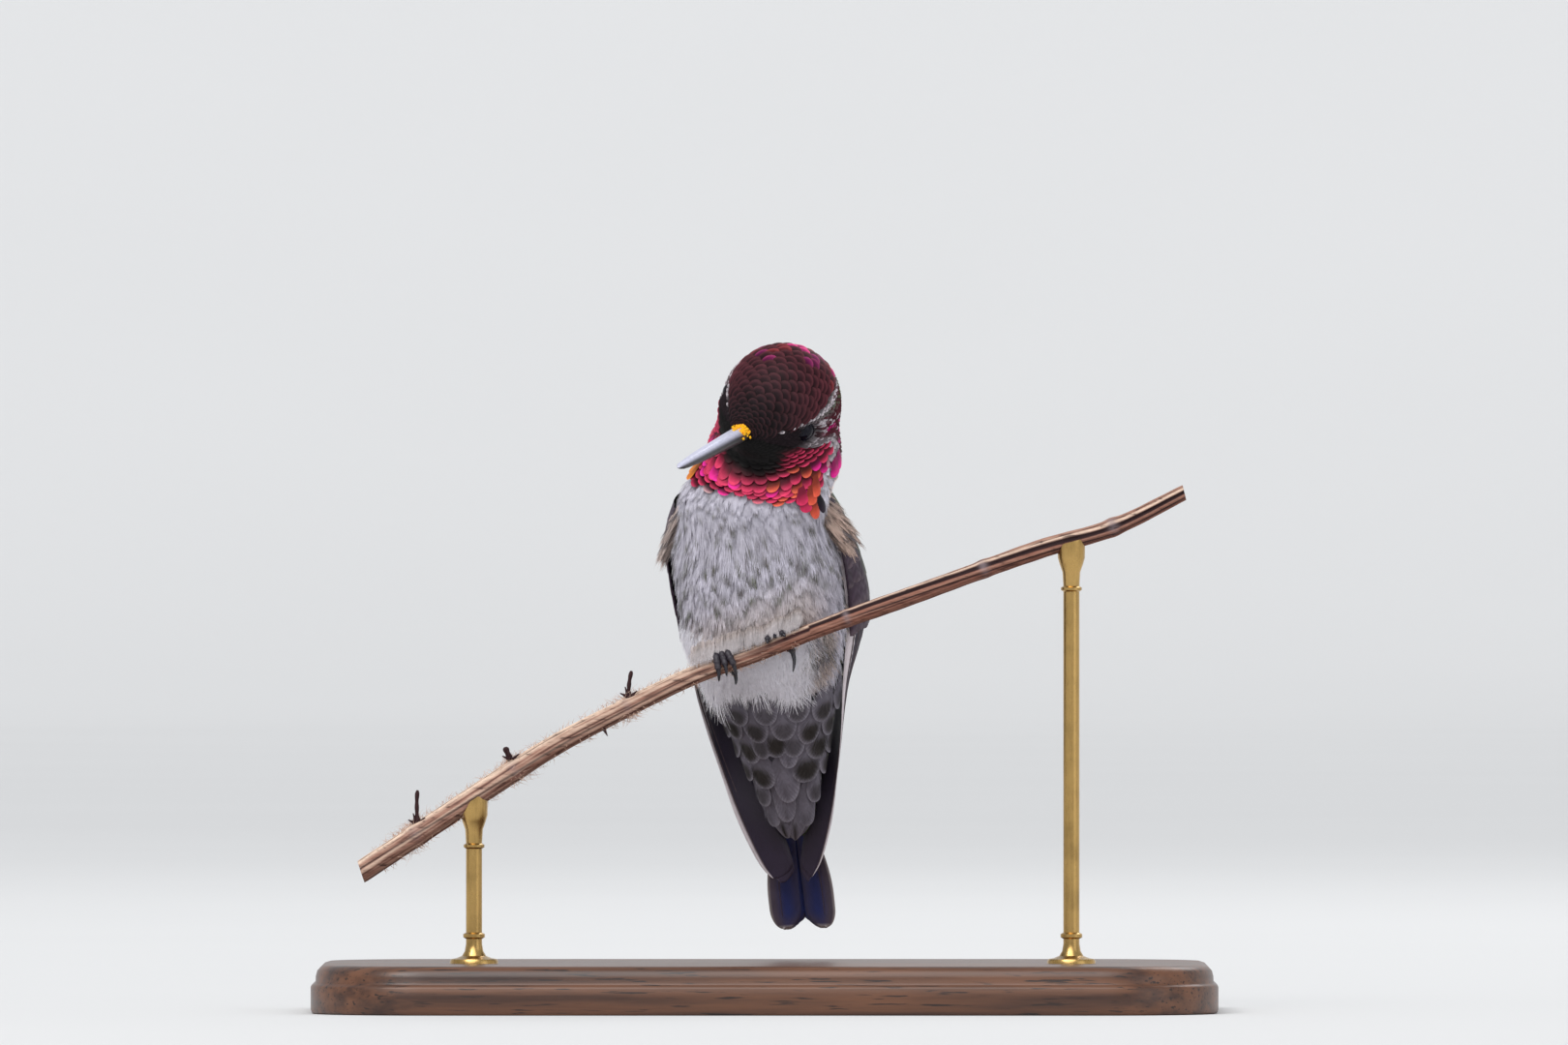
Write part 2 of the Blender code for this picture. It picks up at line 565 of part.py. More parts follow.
def make_feet(trunk, parent):
    """Feet that grip the twig with three toes over its front and one behind and below, and the short legs."""
    scute = finish_of("foot_black", (0.02, 0.017, 0.025), 0.5)
    for side, sign in (("left", 1), ("right", -1)):
        x = FEET_X[side]
        heel = around_perch(x, 125.0, perch_radius(x) + GAP + 0.95)
        foot = add_object(f"foot_{side}", ball(heel, (0.95, 0.75, 0.75), np.eye(3), 8, 5), scute, parent)
        for index in (-1, 0, 1):
            spread = x + index * TOE_SPREAD
            end = FRONT_TOE_ENDS[side] - 12.0 * abs(index)
            piece = toe(x + index * 0.35, spread, 128.0, end, 0.45 if side == "right" else 0.0)
            join(foot, add_object(f"toe_{side}_{index + 2}", piece))
        slant, hang = HIND_TOES[side]
        join(foot, add_object(f"toe_{side}_4", toe(x, x + slant, 130.0, 262.0, hang)))
        hip = on_body(sign * HIP[0], HIP[1], HIP[2])
        way = unit(hip - heel)
        path = heel + way * (0.95 + GAP) + np.linspace(0, 4.0, 4)[:, None] * way
        add_object(f"leg_{side}", tube(path, LEG_RADIUS, 8), scute, parent)
        room = heel + np.linspace(-1.0, 5.6 + GAP, 4)[:, None] * way
        cut(trunk, add_object(f"leg_room_{side}", tube(room, LEG_RADIUS + GAP, 8)))
        cut(trunk, add_object(f"heel_room_{side}", ball(heel, (1.3, 1.1, 1.1), np.eye(3), 8, 5)))


# ---------------------------------------------------------------- stand

def make_base(parent):
    """Flat base with round corners and a bevelled upper edge."""
    walnut = finish_of("base_walnut", (0.09, 0.045, 0.025), 0.4)
    length, depth, height = BASE_SIZE
    outline = []
    for quarter, (x_side, y_side) in enumerate(((1, 1), (-1, 1), (-1, -1), (1, -1))):
        for angle in np.radians(np.linspace(0, 90, 6) + 90 * quarter):
            x = x_side * (length / 2 - BASE_CORNER) + BASE_CORNER * math.cos(angle)
            y = y_side * (depth / 2 - BASE_CORNER) + BASE_CORNER * math.sin(angle)
            outline.append((x, y))
    outline = np.array(outline)
    rings = []
    for level, inset in ((0, 0), (height - BASE_EDGE, 0), (height - 0.35 * BASE_EDGE, 0.35 * BASE_EDGE),
                         (height, BASE_EDGE)):
        scale = 1 - inset / np.array([length / 2, depth / 2])
        rings.append(np.column_stack([outline * scale, np.full(len(outline), level)]))
    add_object("stand_base", loft(rings), walnut, parent)


def make_rods(parent):
    """Two upright rods from the base to the twig's underside, each with a saddle hollowed to hold the twig."""
    brass = finish_of("rod_brass", (0.62, 0.48, 0.24), 0.3, 1.0)
    for side, x in ROD_X.items():
        top = perch_middle(np.array([x]))[0][2]
        levels = np.array([BASE_SIZE[2] + GAP, top - 5.0, top - 3.6, top - 2.4, top])
        radii = np.array([ROD_RADIUS, ROD_RADIUS, ROD_RADIUS * 1.15, ROD_RADIUS * 1.7, ROD_RADIUS * 1.7])
        path = np.column_stack([np.full(5, x), np.full(5, PERCH_Y), levels])
        rod = add_object(f"stand_rod_{side}", tube(path, radii, 14), brass, parent)
        along = np.linspace(x - 5, x + 5, 6)
        cut(rod, add_object(f"saddle_{side}", tube(perch_middle(along), perch_radius(along) + GAP, 12)))


def empty(name):
    """Empty that a group of parts hangs on."""
    holder = bpy.data.objects.new(name, None)
    bpy.context.collection.objects.link(holder)
    return holder


def main():
    for item in list(bpy.data.objects):
        bpy.data.objects.remove(item)
    bird = empty("bird")
    stand = empty("stand")
    head, neck, trunk, coverts = make_body(bird)
    make_eyes(head, bird)
    make_bill(head, bird)
    make_wings(trunk, coverts, neck, bird)
    make_tail(coverts, trunk, bird)
    make_perch(trunk)
    make_feet(trunk, bird)
    make_base(stand)
    make_rods(stand)


main()
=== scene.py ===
"""Looks of the perched hummingbird: skin, feathers, wings, tail, bill, eyes, feet, twig and stand.

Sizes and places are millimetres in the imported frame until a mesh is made. The body is one rounded hull with
two coordinates: share runs from the bill (0) to the tip of the tail coverts (1), and round from the crown
and back (0) by the bird's left side (0.25) to the throat and belly (0.5).
"""
import functools
import math

import bpy
import numpy as np
from bpy.props import FloatProperty, FloatVectorProperty, PointerProperty
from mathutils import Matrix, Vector


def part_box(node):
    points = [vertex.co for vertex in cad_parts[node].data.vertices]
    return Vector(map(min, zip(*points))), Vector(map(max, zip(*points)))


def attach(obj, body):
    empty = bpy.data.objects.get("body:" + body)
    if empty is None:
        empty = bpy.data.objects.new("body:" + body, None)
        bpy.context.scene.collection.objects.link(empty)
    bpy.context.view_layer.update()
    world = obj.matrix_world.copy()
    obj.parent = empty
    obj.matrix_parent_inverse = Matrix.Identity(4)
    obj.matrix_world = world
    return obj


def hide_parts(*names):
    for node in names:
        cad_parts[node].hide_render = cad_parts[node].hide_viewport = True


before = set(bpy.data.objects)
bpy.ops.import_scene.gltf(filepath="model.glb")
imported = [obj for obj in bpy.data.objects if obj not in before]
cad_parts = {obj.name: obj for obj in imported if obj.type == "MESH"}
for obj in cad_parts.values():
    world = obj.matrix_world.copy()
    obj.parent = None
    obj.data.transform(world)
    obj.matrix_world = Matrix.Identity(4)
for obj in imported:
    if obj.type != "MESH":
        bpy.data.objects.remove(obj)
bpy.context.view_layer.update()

bl_info = {
    "name": "Perched hummingbird",
    "version": (1, 0, 0),
    "blender": (4, 5, 0),
    "location": "3D View > Sidebar > Hummingbird",
    "description": "Builds the feathers, bare parts, twig and stand of a life-size hummingbird model",
    "category": "Add Mesh",
}

MM = 0.001
BODY = "root"


# ---------------------------------------------------------------- settings

def number_of(name, description, default, low=0.0, **kind):
    """Number setting."""
    return FloatProperty(name=name, description=description, default=default, min=low, **kind)


def length_of(name, description, default, low=0.0001):
    """Length setting in metres."""
    return number_of(name, description, default, low, precision=5, subtype="DISTANCE", unit="LENGTH")


def colour_of(name, description, *display):
    """Colour setting. Its default is given in display values 0 to 255 and made linear by
    ((c / 255 + 0.055) / 1.055) ** 2.4."""
    linear = [((channel / 255 + 0.055) / 1.055) ** 2.4 for channel in display]
    return FloatVectorProperty(name=name, description=description, subtype="COLOR", size=3, min=0, max=1,
                               default=linear)


class PlumageSettings(bpy.types.PropertyGroup):
    """Sizes and colours of the feathers."""
    crown: colour_of("Crown", "Scales of the crown", 88, 30, 43)
    crown_rim: colour_of("Crown rim", "Rims of the crown's scales", 154, 86, 88)
    # On the crown's front this colour is painted shade, where the scales catch no light
    forehead: colour_of("Forehead", "Scales over the bill and under the eye", 32, 22, 27)
    # Painted shade: the throat's scales below the bill, black where they catch no light
    chin: colour_of("Chin", "Scales below the bill", 20, 14, 17)
    rose: colour_of("Rose", "Most of the throat's scales", 210, 48, 92)
    orange: colour_of("Orange", "Scales of the throat that catch the light", 232, 92, 68)
    magenta: colour_of("Magenta", "Brightest scales of the throat and crown", 246, 14, 150)
    brow: colour_of("Brow", "Pale line over and behind the eye", 200, 190, 196)
    ear: colour_of("Ear", "Feathers behind the eye", 128, 118, 122)
    nape: colour_of("Nape", "Bronze green of the nape and back", 72, 92, 52)
    neck: colour_of("Neck side", "White patch at the side of the neck", 236, 232, 244)
    breast: colour_of("Breast", "Fringes of the breast feathers", 208, 204, 217)
    breast_spot: colour_of("Breast spots", "Centres of the breast feathers", 92, 88, 82)
    belly: colour_of("Belly", "Lower belly", 210, 195, 190)
    vent: colour_of("Vent", "White fluff under the belly", 244, 242, 250)
    covert: colour_of("Coverts", "Feathers under the tail's root", 128, 123, 136)
    covert_spot: colour_of("Covert spots", "Dark ovals of the coverts", 52, 47, 45)
    shoulder: colour_of("Shoulder", "Loose tufts over the wing's bend", 204, 184, 176)
    crown_scale: length_of("Crown scale", "Width of the crown's largest scales", 0.00185)
    throat_scale: length_of("Throat scale", "Width of the throat's largest scales", 0.00175)
    breast_pitch: length_of("Breast pitch", "Distance between rows of breast feathers", 0.00078)


class FlightSettings(bpy.types.PropertyGroup):
    """Colours of the long feathers."""
    vane: colour_of("Wing vane", "Dusky vanes of the wings", 46, 36, 58)
    edge: colour_of("Wing edge", "Pale leading edge of the wings", 250, 240, 246)
    shaft: colour_of("Shaft", "Shafts of the wing and tail feathers", 84, 68, 74)
    tail: colour_of("Tail", "Blue-black middle of the tail feathers", 36, 50, 112)
    tail_side: colour_of("Tail side", "Grey-brown sides of the tail feathers", 88, 78, 92)
    tail_rim: colour_of("Tail rim", "Pale rim round the tail's end", 206, 196, 192)


class BareSettings(bpy.types.PropertyGroup):
    """Colours of the eyes, bill and feet."""
    # The blue in this colour is a painted reflection of the sky on the dark eye
    eye: colour_of("Eye", "Blue-black of the eyes", 16, 15, 30)
    lid: colour_of("Lid", "Bare rim round the eyes", 26, 21, 24)
    # Painted reflection: the black bill's upper side, pale where it mirrors the sky
    bill_sky_reflection: colour_of("Bill top", "Upper side of the bill", 202, 202, 222)
    bill_under: colour_of("Bill underside", "Lower side of the bill", 40, 35, 40)
    pollen: colour_of("Pollen", "Pollen grains at the bill's root", 250, 200, 10)
    toe: colour_of("Toe", "Scales of the toes", 34, 28, 36)
    claw: colour_of("Claw", "Claws", 22, 18, 30)


class SupportSettings(bpy.types.PropertyGroup):
    """Colours of the twig and of the display stand."""
    bark_light: colour_of("Bark ridges", "Sunlit ridges of the bark", 236, 208, 186)
    bark_warm: colour_of("Bark", "Middle tone of the bark", 140, 88, 72)
    bark_dark: colour_of("Bark grooves", "Grooves of the bark", 44, 24, 26)
    scar: colour_of("Scars", "Grey scars of old shoots", 150, 134, 138)
    wood_light: colour_of("Base light", "Pale grain of the base", 108, 68, 44)
    wood_dark: colour_of("Base dark", "Dark grain of the base", 54, 30, 20)
    brass: colour_of("Brass", "Rods and their collars", 196, 160, 98)


class StageSettings(bpy.types.PropertyGroup):
    """Camera, light and floor."""
    lens: number_of("Lens", "Focal length", 600, 1, unit="CAMERA")
    distance: length_of("Distance", "From the camera to the model", 3.24, 0.1)
    sideways: length_of("Sideways", "Camera's place beside the model's middle", 0.0024, -1)
    height: length_of("Height", "Camera's height over the floor", 0.0606)
    floor: colour_of("Floor", "Floor, which curves up far away", 226, 226, 226)
    key: number_of("Key light", "Power of the main lamp", 4.0, unit="POWER")
    fill: number_of("Fill light", "Power of the second lamp", 1.2, unit="POWER")
    rim: number_of("Rim light", "Power of the lamp behind", 2.5, unit="POWER")
    sun: number_of("Sun", "Strength of the wide soft sun over the stage", 1.6)
    sky: number_of("Sky", "Strength of the even light from all round", 0.55)


# ---------------------------------------------------------------- directions, curves and colours

def unit(vector):
    """The vector at length 1."""
    vector = np.asarray(vector, float)
    return vector / np.maximum(np.linalg.norm(vector, axis=-1, keepdims=True), 1e-12)


def turn(axis, degrees):
    """Matrix that turns a vector about an axis, by Rodrigues' formula."""
    x, y, z = unit(axis)
    angle = math.radians(degrees)
    cross = np.array([[0, -z, y], [z, 0, -x], [-y, x, 0]])
    return np.eye(3) + math.sin(angle) * cross + (1 - math.cos(angle)) * cross @ cross


def circle(count):
    """Even angles round a circle."""
    return np.linspace(0, 2 * np.pi, count, endpoint=False)


def swing(angle, first, second):
    """Vector that goes round with the angle: cos(angle) * first + sin(angle) * second."""
    angle = np.asarray(angle)[..., None]
    return np.cos(angle) * first + np.sin(angle) * second


def curve(points, share):
    """Catmull-Rom curve through the points, at a share 0 to 1 of the way along."""
    points = np.asarray(points, float)
    points = np.concatenate([[2 * points[0] - points[1]], points, [2 * points[-1] - points[-2]]])
    spans = len(points) - 3
    place = np.clip(np.asarray(share, float) * spans, 0, spans - 1e-9)
    index = place.astype(int)
    w = (place - index).reshape(place.shape + (1,) * (points.ndim - 1))
    a, b, c, d = (points[index + step] for step in range(4))
    return b + 0.5 * w * (c - a + w * (2 * a - 5 * b + 4 * c - d + w * (3 * (b - c) + d - a)))


def smooth(low, high, value):
    """0 below low, 1 above high, and an S-curve between."""
    share = np.clip((value - low) / (high - low), 0, 1)
    return share * share * (3 - 2 * share)


def bell(value, middle, width):
    """1 at the middle, falling off as exp(-((value - middle) / width) ** 2)."""
    return np.exp(-((value - middle) / width) ** 2)


def toned(colour, *factors):
    """A colour times one factor, or times one for each channel."""
    return np.asarray(colour) * factors


def blend(first, second, share):
    """Colours between first and second, at a share for each point."""
    share = np.asarray(share)[..., None]
    return np.asarray(first) * (1 - share) + np.asarray(second) * share


UP = np.array([0.0, 0.0, 1.0])
BREAST = np.array([-0.8, 5.4, 54.0])
SKULL = np.array([2.0, -3.2, 75.2])
BODY_YAW, BODY_LEAN, BODY_ROLL = 12.0, 23.0, 2.3
HEAD_YAW, HEAD_PITCH, HEAD_TILT = 27.5, 14.5, 28.0

LEVEL_LEFT = turn(UP, -BODY_YAW) @ np.array([1.0, 0.0, 0.0])
LEVEL_BACK = turn(UP, -BODY_YAW) @ np.array([0.0, 1.0, 0.0])
LEANING = turn(LEVEL_BACK, -BODY_ROLL) @ turn(LEVEL_LEFT, BODY_LEAN)
LEFT, BACK, TAILWARD = LEANING @ LEVEL_LEFT, LEANING @ LEVEL_BACK, LEANING @ -UP

LEVEL_CHEEK = turn(UP, -HEAD_YAW) @ np.array([1.0, 0.0, 0.0])
BILLWARD = turn(LEVEL_CHEEK, HEAD_PITCH) @ turn(UP, -HEAD_YAW) @ np.array([0.0, -1.0, 0.0])
TILTING = turn(BILLWARD, -HEAD_TILT)
CHEEK = TILTING @ LEVEL_CHEEK
CROWN = TILTING @ np.cross(BILLWARD, LEVEL_CHEEK)


def on_body(left, back, tailward):
    """Place in the leaning body's own frame."""
    return BREAST + left * LEFT + back * BACK + tailward * TAILWARD


def on_head(forward, left, up):
    """Place in the tilted head's own frame."""
    return SKULL + forward * BILLWARD + left * CHEEK + up * CROWN


# ---------------------------------------------------------------- surfaces that feathers lie on

EDGE = 0.0005           # surfaces are read this far inside their ends


class Surface:
    """Smooth surface known on a grid: points[i, j] and outward directions normals[i, j], at share i / (rows -
    1) and round j / columns where it closes on itself, or j / (columns - 1) where it doesn't."""

    def __init__(self, points, normals, closed=False):
        self.points, self.normals, self.closed = points, normals, closed
        rows, columns = points.shape[:2]
        along = np.gradient(points, axis=0) * (rows - 1)
        if closed:
            around = (np.roll(points, -1, axis=1) - np.roll(points, 1, axis=1)) * columns / 2
        else:
            around = np.gradient(points, axis=1) * (columns - 1)
        self.steps = np.stack([np.linalg.norm(along, axis=-1), np.linalg.norm(around, axis=-1)], axis=-1)

    def read(self, grid, share, around):
        """Value of a grid between its points, mixed from the four that surround the place."""
        rows, columns = grid.shape[:2]
        down = np.clip(share, EDGE, 1 - EDGE) * (rows - 1)
        across = (np.mod(around, 1.0) * columns if self.closed
                  else np.clip(around, 0, 1 - EDGE) * (columns - 1))
        i = np.minimum(down.astype(int), rows - 2)
        j = np.minimum(across.astype(int), columns - 1)
        k = (j + 1) % columns
        s, t = (down - i)[..., None], (across - j)[..., None]
        first = grid[i, j] * (1 - s) + grid[i + 1, j] * s
        return first * (1 - t) + (grid[i, k] * (1 - s) + grid[i + 1, k] * s) * t

    def at(self, share, around, height=0.0):
        """Place over the surface."""
        share, around, height = np.broadcast_arrays(share, around, height)
        square = unit(self.read(self.normals, share, around))
        return self.read(self.points, share, around) + height[..., None] * square

    def scale(self, share, around):
        """Millimetres for one whole share, and for one whole round, at a place."""
        steps = self.read(self.steps, np.asarray(share, float), np.asarray(around, float))
        return np.maximum(steps[..., 0], 1.0), np.maximum(steps[..., 1], 1.0)


HEAD_AXES = np.stack([BILLWARD, CHEEK, CROWN])
BODY_AXES = np.stack([LEFT, BACK, TAILWARD])
LUMPS = (   # centre, axes and half-sizes of each rounded mass
    (on_head(0.0, 0.0, 0.2), HEAD_AXES, (7.8, 7.2, 7.5)),       # skull
    (on_head(3.6, 0.0, -1.0), HEAD_AXES, (5.0, 4.8, 4.4)),      # face
    (on_head(7.0, 0.0, -1.4), HEAD_AXES, (3.2, 2.1, 2.0)),      # feathers round the bill
    (on_body(3.6, 1.7, -15.4), BODY_AXES, (8.3, 7.6, 7.4)),     # neck
    (on_body(0.9, -2.6, -11.0), BODY_AXES, (9.4, 6.6, 6.6)),    # throat
    (on_body(0.1, 0.0, -2.5), BODY_AXES, (10.8, 10.0, 11.0)),   # breast
    (on_body(0.1, -0.6, 5.5), BODY_AXES, (10.5, 8.8, 11.0)),    # belly
    (on_body(0.2, 0.2, 13.0), BODY_AXES, (8.6, 6.6, 9.5)),      # vent
    (on_body(0.2, 0.8, 20.0), BODY_AXES, (6.2, 4.5, 9.5)),      # rump
    (on_body(0.1, 0.9, 28.0), BODY_AXES, (4.2, 2.8, 8.3)),      # tail coverts
)
BLEND = 1.0             # how softly the masses flow into each other
SPINE = (               # from behind the bill, down the neck and along the back
    on_head(4.4, 0, -1.7), on_head(0.4, 0, -2.8), on_body(1.6, 0.6, -14.5), on_body(0.5, 0.4, -8.5),
    on_body(0.1, 0.2, 0.0), on_body(0.0, 0.3, 9.0), on_body(0.0, 0.6, 17.5), on_body(0.0, 0.9, 25.5),
    on_body(0.1, 0.9, 31.5), on_body(0.1, 0.9, 34.5),
)
BILL_ROOT = on_head(9.4, 0.0, -1.3)
FACE_SHARE = 0.12       # share of the way down that fans out from the bill
END_SHARE = 0.05        # share at the end that closes in on the coverts' tip
TURNED_SHARE = 0.42     # here the rings have turned from the head's direction to the body's
NECK_TIP = 50.0         # degrees the head's rings tip back
REACH = 20.0            # a ray surely leaves the body within this length
STRIDES, HALVINGS = 50, 12      # steps along a ray, then halvings of the last one
NUDGE = 0.05            # offset for the slope of the distance
HULL_ROWS, HULL_COLUMNS = 321, 240


def depth_outside(points):
    """Soft distance from the body: negative inside. Each mass gives about the distance to its own surface,
    and the soft least of them is m - BLEND * log(sum of exp(-(d - m) / BLEND))."""
    distances = []
    for centre, axes, sizes in LUMPS:
        local = (points - centre) @ axes.T
        near = np.linalg.norm(local / sizes, axis=-1)
        steep = np.linalg.norm(local / np.square(sizes), axis=-1)
        distances.append(near * (near - 1) / np.maximum(steep, 1e-9))
    distances = np.stack(distances)
    least = distances.min(axis=0)
    return least - BLEND * np.log(np.exp((least - distances) / BLEND).sum(axis=0))


def ring_axes(share):
    """Crown or back, and left directions of the ring at each share: they turn about one axis from the head's
    frame to the body's."""
    tipped = turn(CHEEK, -NECK_TIP)
    head = np.stack([-(tipped @ BILLWARD), tipped @ CROWN, CHEEK])
    change = np.stack([TAILWARD, BACK, LEFT]).T @ head
    angle = math.degrees(math.acos((np.trace(change) - 1) / 2))
    axis = (change[2, 1] - change[1, 2], change[0, 2] - change[2, 0], change[1, 0] - change[0, 1])
    gone = np.clip((share - FACE_SHARE) / (TURNED_SHARE - FACE_SHARE), 0, 1)
    gone = 0.65 * gone + 0.35 * smooth(0, 1, gone)
    turned = np.array([head @ turn(axis, angle * step).T for step in gone])
    return turned[:, 1], turned[:, 2]


@functools.lru_cache(maxsize=None)
def hull():
    """The coat's outline. A ray leaves the spine, fanning forward at the face and back at the coverts' tip,
    and stops where it first comes out of the soft union of the masses."""
    share = np.linspace(0, 1, HULL_ROWS)
    middle = curve(SPINE, np.clip((share - FACE_SHARE) / (1 - FACE_SHARE - END_SHARE), 0, 1))[:, None]
    back, left = ring_axes(share)
    to_bill = (np.pi / 2 * (1 - np.clip(share / FACE_SHARE, 0, 1)))[:, None, None]
    to_tip = (np.pi / 2 * np.clip((share - 1 + END_SHARE) / END_SHARE, 0, 1))[:, None, None]
    ahead = np.sin(to_bill) * unit(BILL_ROOT - SPINE[0]) + np.sin(to_tip) * TAILWARD
    sideways = swing(circle(HULL_COLUMNS), back[:, None], left[:, None])
    ray = unit(np.cos(to_bill) * np.cos(to_tip) * sideways + ahead)
    near = np.zeros(ray.shape[:2])
    out = np.zeros(near.shape, bool)
    for step in np.linspace(0, REACH, STRIDES + 1)[1:]:
        out |= depth_outside(middle + step * ray) > 0
        near = np.where(out, near, step)
    far = near + REACH / STRIDES
    for _ in range(HALVINGS):
        half = (near + far) / 2
        inside = depth_outside(middle + half[..., None] * ray) < 0
        near, far = np.where(inside, half, near), np.where(inside, far, half)
    points = middle + near[..., None] * ray
    slope = [depth_outside(points + NUDGE * axis) - depth_outside(points - NUDGE * axis)
             for axis in np.eye(3)]
    return Surface(points, unit(np.stack(slope, axis=-1)), closed=True)


def coat_depth(share):
    """How far the skin lies under the feathers' outline."""
    return np.interp(share, (0.0, 0.05, 0.12, 0.25, 0.4, 0.6, 0.7, 0.9, 1.0),
                     (0.12, 0.3, 0.5, 0.75, 1.0, 1.1, 0.9, 0.6, 0.3))


# ---------------------------------------------------------------- meshes

def grid_faces(rows, columns, closed=False):
    """Quads of a grid of points, and those that close its columns into a ring."""
    i, j = np.meshgrid(np.arange(rows - 1), np.arange(columns if closed else columns - 1), indexing="ij")
    k = (j + 1) % columns
    corners = (i * columns + j, i * columns + k, (i + 1) * columns + k, (i + 1) * columns + j)
    return np.stack(corners, axis=-1).reshape(-1, 4)


def copies(faces, count, size):
    """The faces of one shape, repeated for each of its copies of that many points."""
    return (faces[None] + np.arange(count)[:, None, None] * size).reshape(-1, faces.shape[1])


def strips(path, side):
    """Narrow strip along each path: two points beside each of its own, and the faces between."""
    points = path[..., None, :] + np.array([[-1.0], [1.0]]) * side[..., None, :]
    count, steps = path.shape[:2]
    return points, copies(grid_faces(steps, 2), count, 2 * steps)


def make_mesh(name, points, faces, values=None, unwrap=None):
    """Object at the origin from points in millimetres. values are numbers or colours at each point, and
    unwrap is the place of each point on the map that a coat's colours are baked on."""
    mesh = bpy.data.meshes.new(name)
    mesh.vertices.add(len(points))
    mesh.vertices.foreach_set("co", (np.asarray(points) * MM).astype(np.float32).ravel())
    mesh.loops.add(faces.size)
    mesh.loops.foreach_set("vertex_index", faces.astype(np.int32).ravel())
    mesh.polygons.add(len(faces))
    mesh.polygons.foreach_set("loop_start", np.arange(0, faces.size, faces.shape[1], dtype=np.int32))
    mesh.update(calc_edges=True)
    for title, value in (values or {}).items():
        value = np.asarray(value, np.float32)
        if value.ndim == 2:
            value = np.concatenate([value, np.ones((len(value), 1), np.float32)], axis=1)
            mesh.attributes.new(title, "FLOAT_COLOR", "POINT").data.foreach_set("color", value.ravel())
        else:
            mesh.attributes.new(title, "FLOAT", "POINT").data.foreach_set("value", value)
    if unwrap is not None:
        layer = mesh.uv_layers.new(name="OFBake")
        layer.data.foreach_set("uv", np.asarray(unwrap, np.float32)[faces.ravel()].ravel())
    mesh.shade_smooth()
    return add_object(name, mesh)


def add_object(name, data):
    """Object that holds a mesh, a lamp or a camera."""
    item = bpy.data.objects.new(name, data)
    bpy.context.scene.collection.objects.link(item)
    return item


def piece(name, points, faces, finish, slot, *nodes, values=None, unwrap=None):
    """Piece of the model: a mesh with its finish, its body and the solids that it stands for. Its slot is not
    used.
    """
    item = make_mesh(name, points, faces, values, unwrap)
    item.data.materials.append(finish.material)
    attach(item, BODY)
    if nodes:
        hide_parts(*nodes)
    return item


def joined(parts):
    """Several (points, faces) shapes as one."""
    points = [part[0].reshape(-1, 3) for part in parts]
    starts = np.cumsum([0] + [len(part) for part in points[:-1]])
    return np.concatenate(points), np.concatenate([part[1] + start for part, start in zip(parts, starts)])


def tube(path, radii, sides):
    """Rings of a round bar: at each point of the path, centre + r * (cos(a) * side + sin(a) * up)."""
    radii = np.broadcast_to(radii, len(path)).astype(float)
    along = unit(np.gradient(path, axis=0))
    side = unit(np.cross(along, [0.31, 0.27, 0.91]))
    up = np.cross(side, along)
    return path[:, None] + radii[:, None, None] * swing(circle(sides), side[:, None], up[:, None])


def sphere(rows, columns, pole):
    """Directions out from a ball on a grid: tilted from pole to pi - pole, and all the way round z."""
    tilt = np.linspace(pole, np.pi - pole, rows)[:, None]
    return swing(tilt, UP, swing(circle(columns), [1.0, 0.0, 0.0], [0.0, 1.0, 0.0]))


def facing(points, faces, outward):
    """The faces, turned round if they look against the outward directions on the whole."""
    a, b, d = points[faces[:, 0]], points[faces[:, 1]], points[faces[:, -1]]
    return faces if (np.cross(b - a, d - a) * outward).sum() > 0 else faces[:, ::-1]


def shell(rings):
    """Closed triangles over rings of points, each closed on itself, with a fan round the middle of each end
    ring."""
    rows, columns = rings.shape[:2]
    points = np.concatenate([rings.reshape(-1, 3), rings[:1].mean(axis=1), rings[-1:].mean(axis=1)])
    here = np.arange(columns)
    following = (here + 1) % columns
    first = np.stack([following, here, np.full(columns, rows * columns)], axis=-1)
    last = np.stack([here, following, np.full(columns, rows * columns + 1)], axis=-1)
    last[:, :2] += (rows - 1) * columns
    quads = grid_faces(rows, columns, closed=True)
    faces = np.concatenate([quads[:, [0, 1, 2]], quads[:, [0, 2, 3]], first, last])
    return points, facing(points, faces, points[faces[:, 0]] - points.mean(axis=0))


def ended(values):
    """Values of a shell's ring points, with those of its two end points added."""
    return np.concatenate([values, values[:1], values[-1:]])


# ---------------------------------------------------------------- finishes

class Value:
    """Socket of a number in a finish. Sums and products of it add Math nodes."""

    def __init__(self, finish, socket):
        self.finish, self.socket = finish, socket

    def _math(self, operation, *terms):
        return self.finish.node("ShaderNodeMath", {"operation": operation}, dict(enumerate(terms)))

    def __add__(self, other):
        return self._math("ADD", self, other)

    def __sub__(self, other):
        return self._math("SUBTRACT", self, other)

    def __rsub__(self, other):
        return self._math("SUBTRACT", other, self)

    def __mul__(self, other):
        return self._math("MULTIPLY", self, other)

    __radd__ = __add__
    __rmul__ = __mul__

    def sine(self):
        """Sine of the value."""
        return self._math("SINE", self)

    def size(self):
        """The value without its sign."""
        return self._math("ABSOLUTE", self)


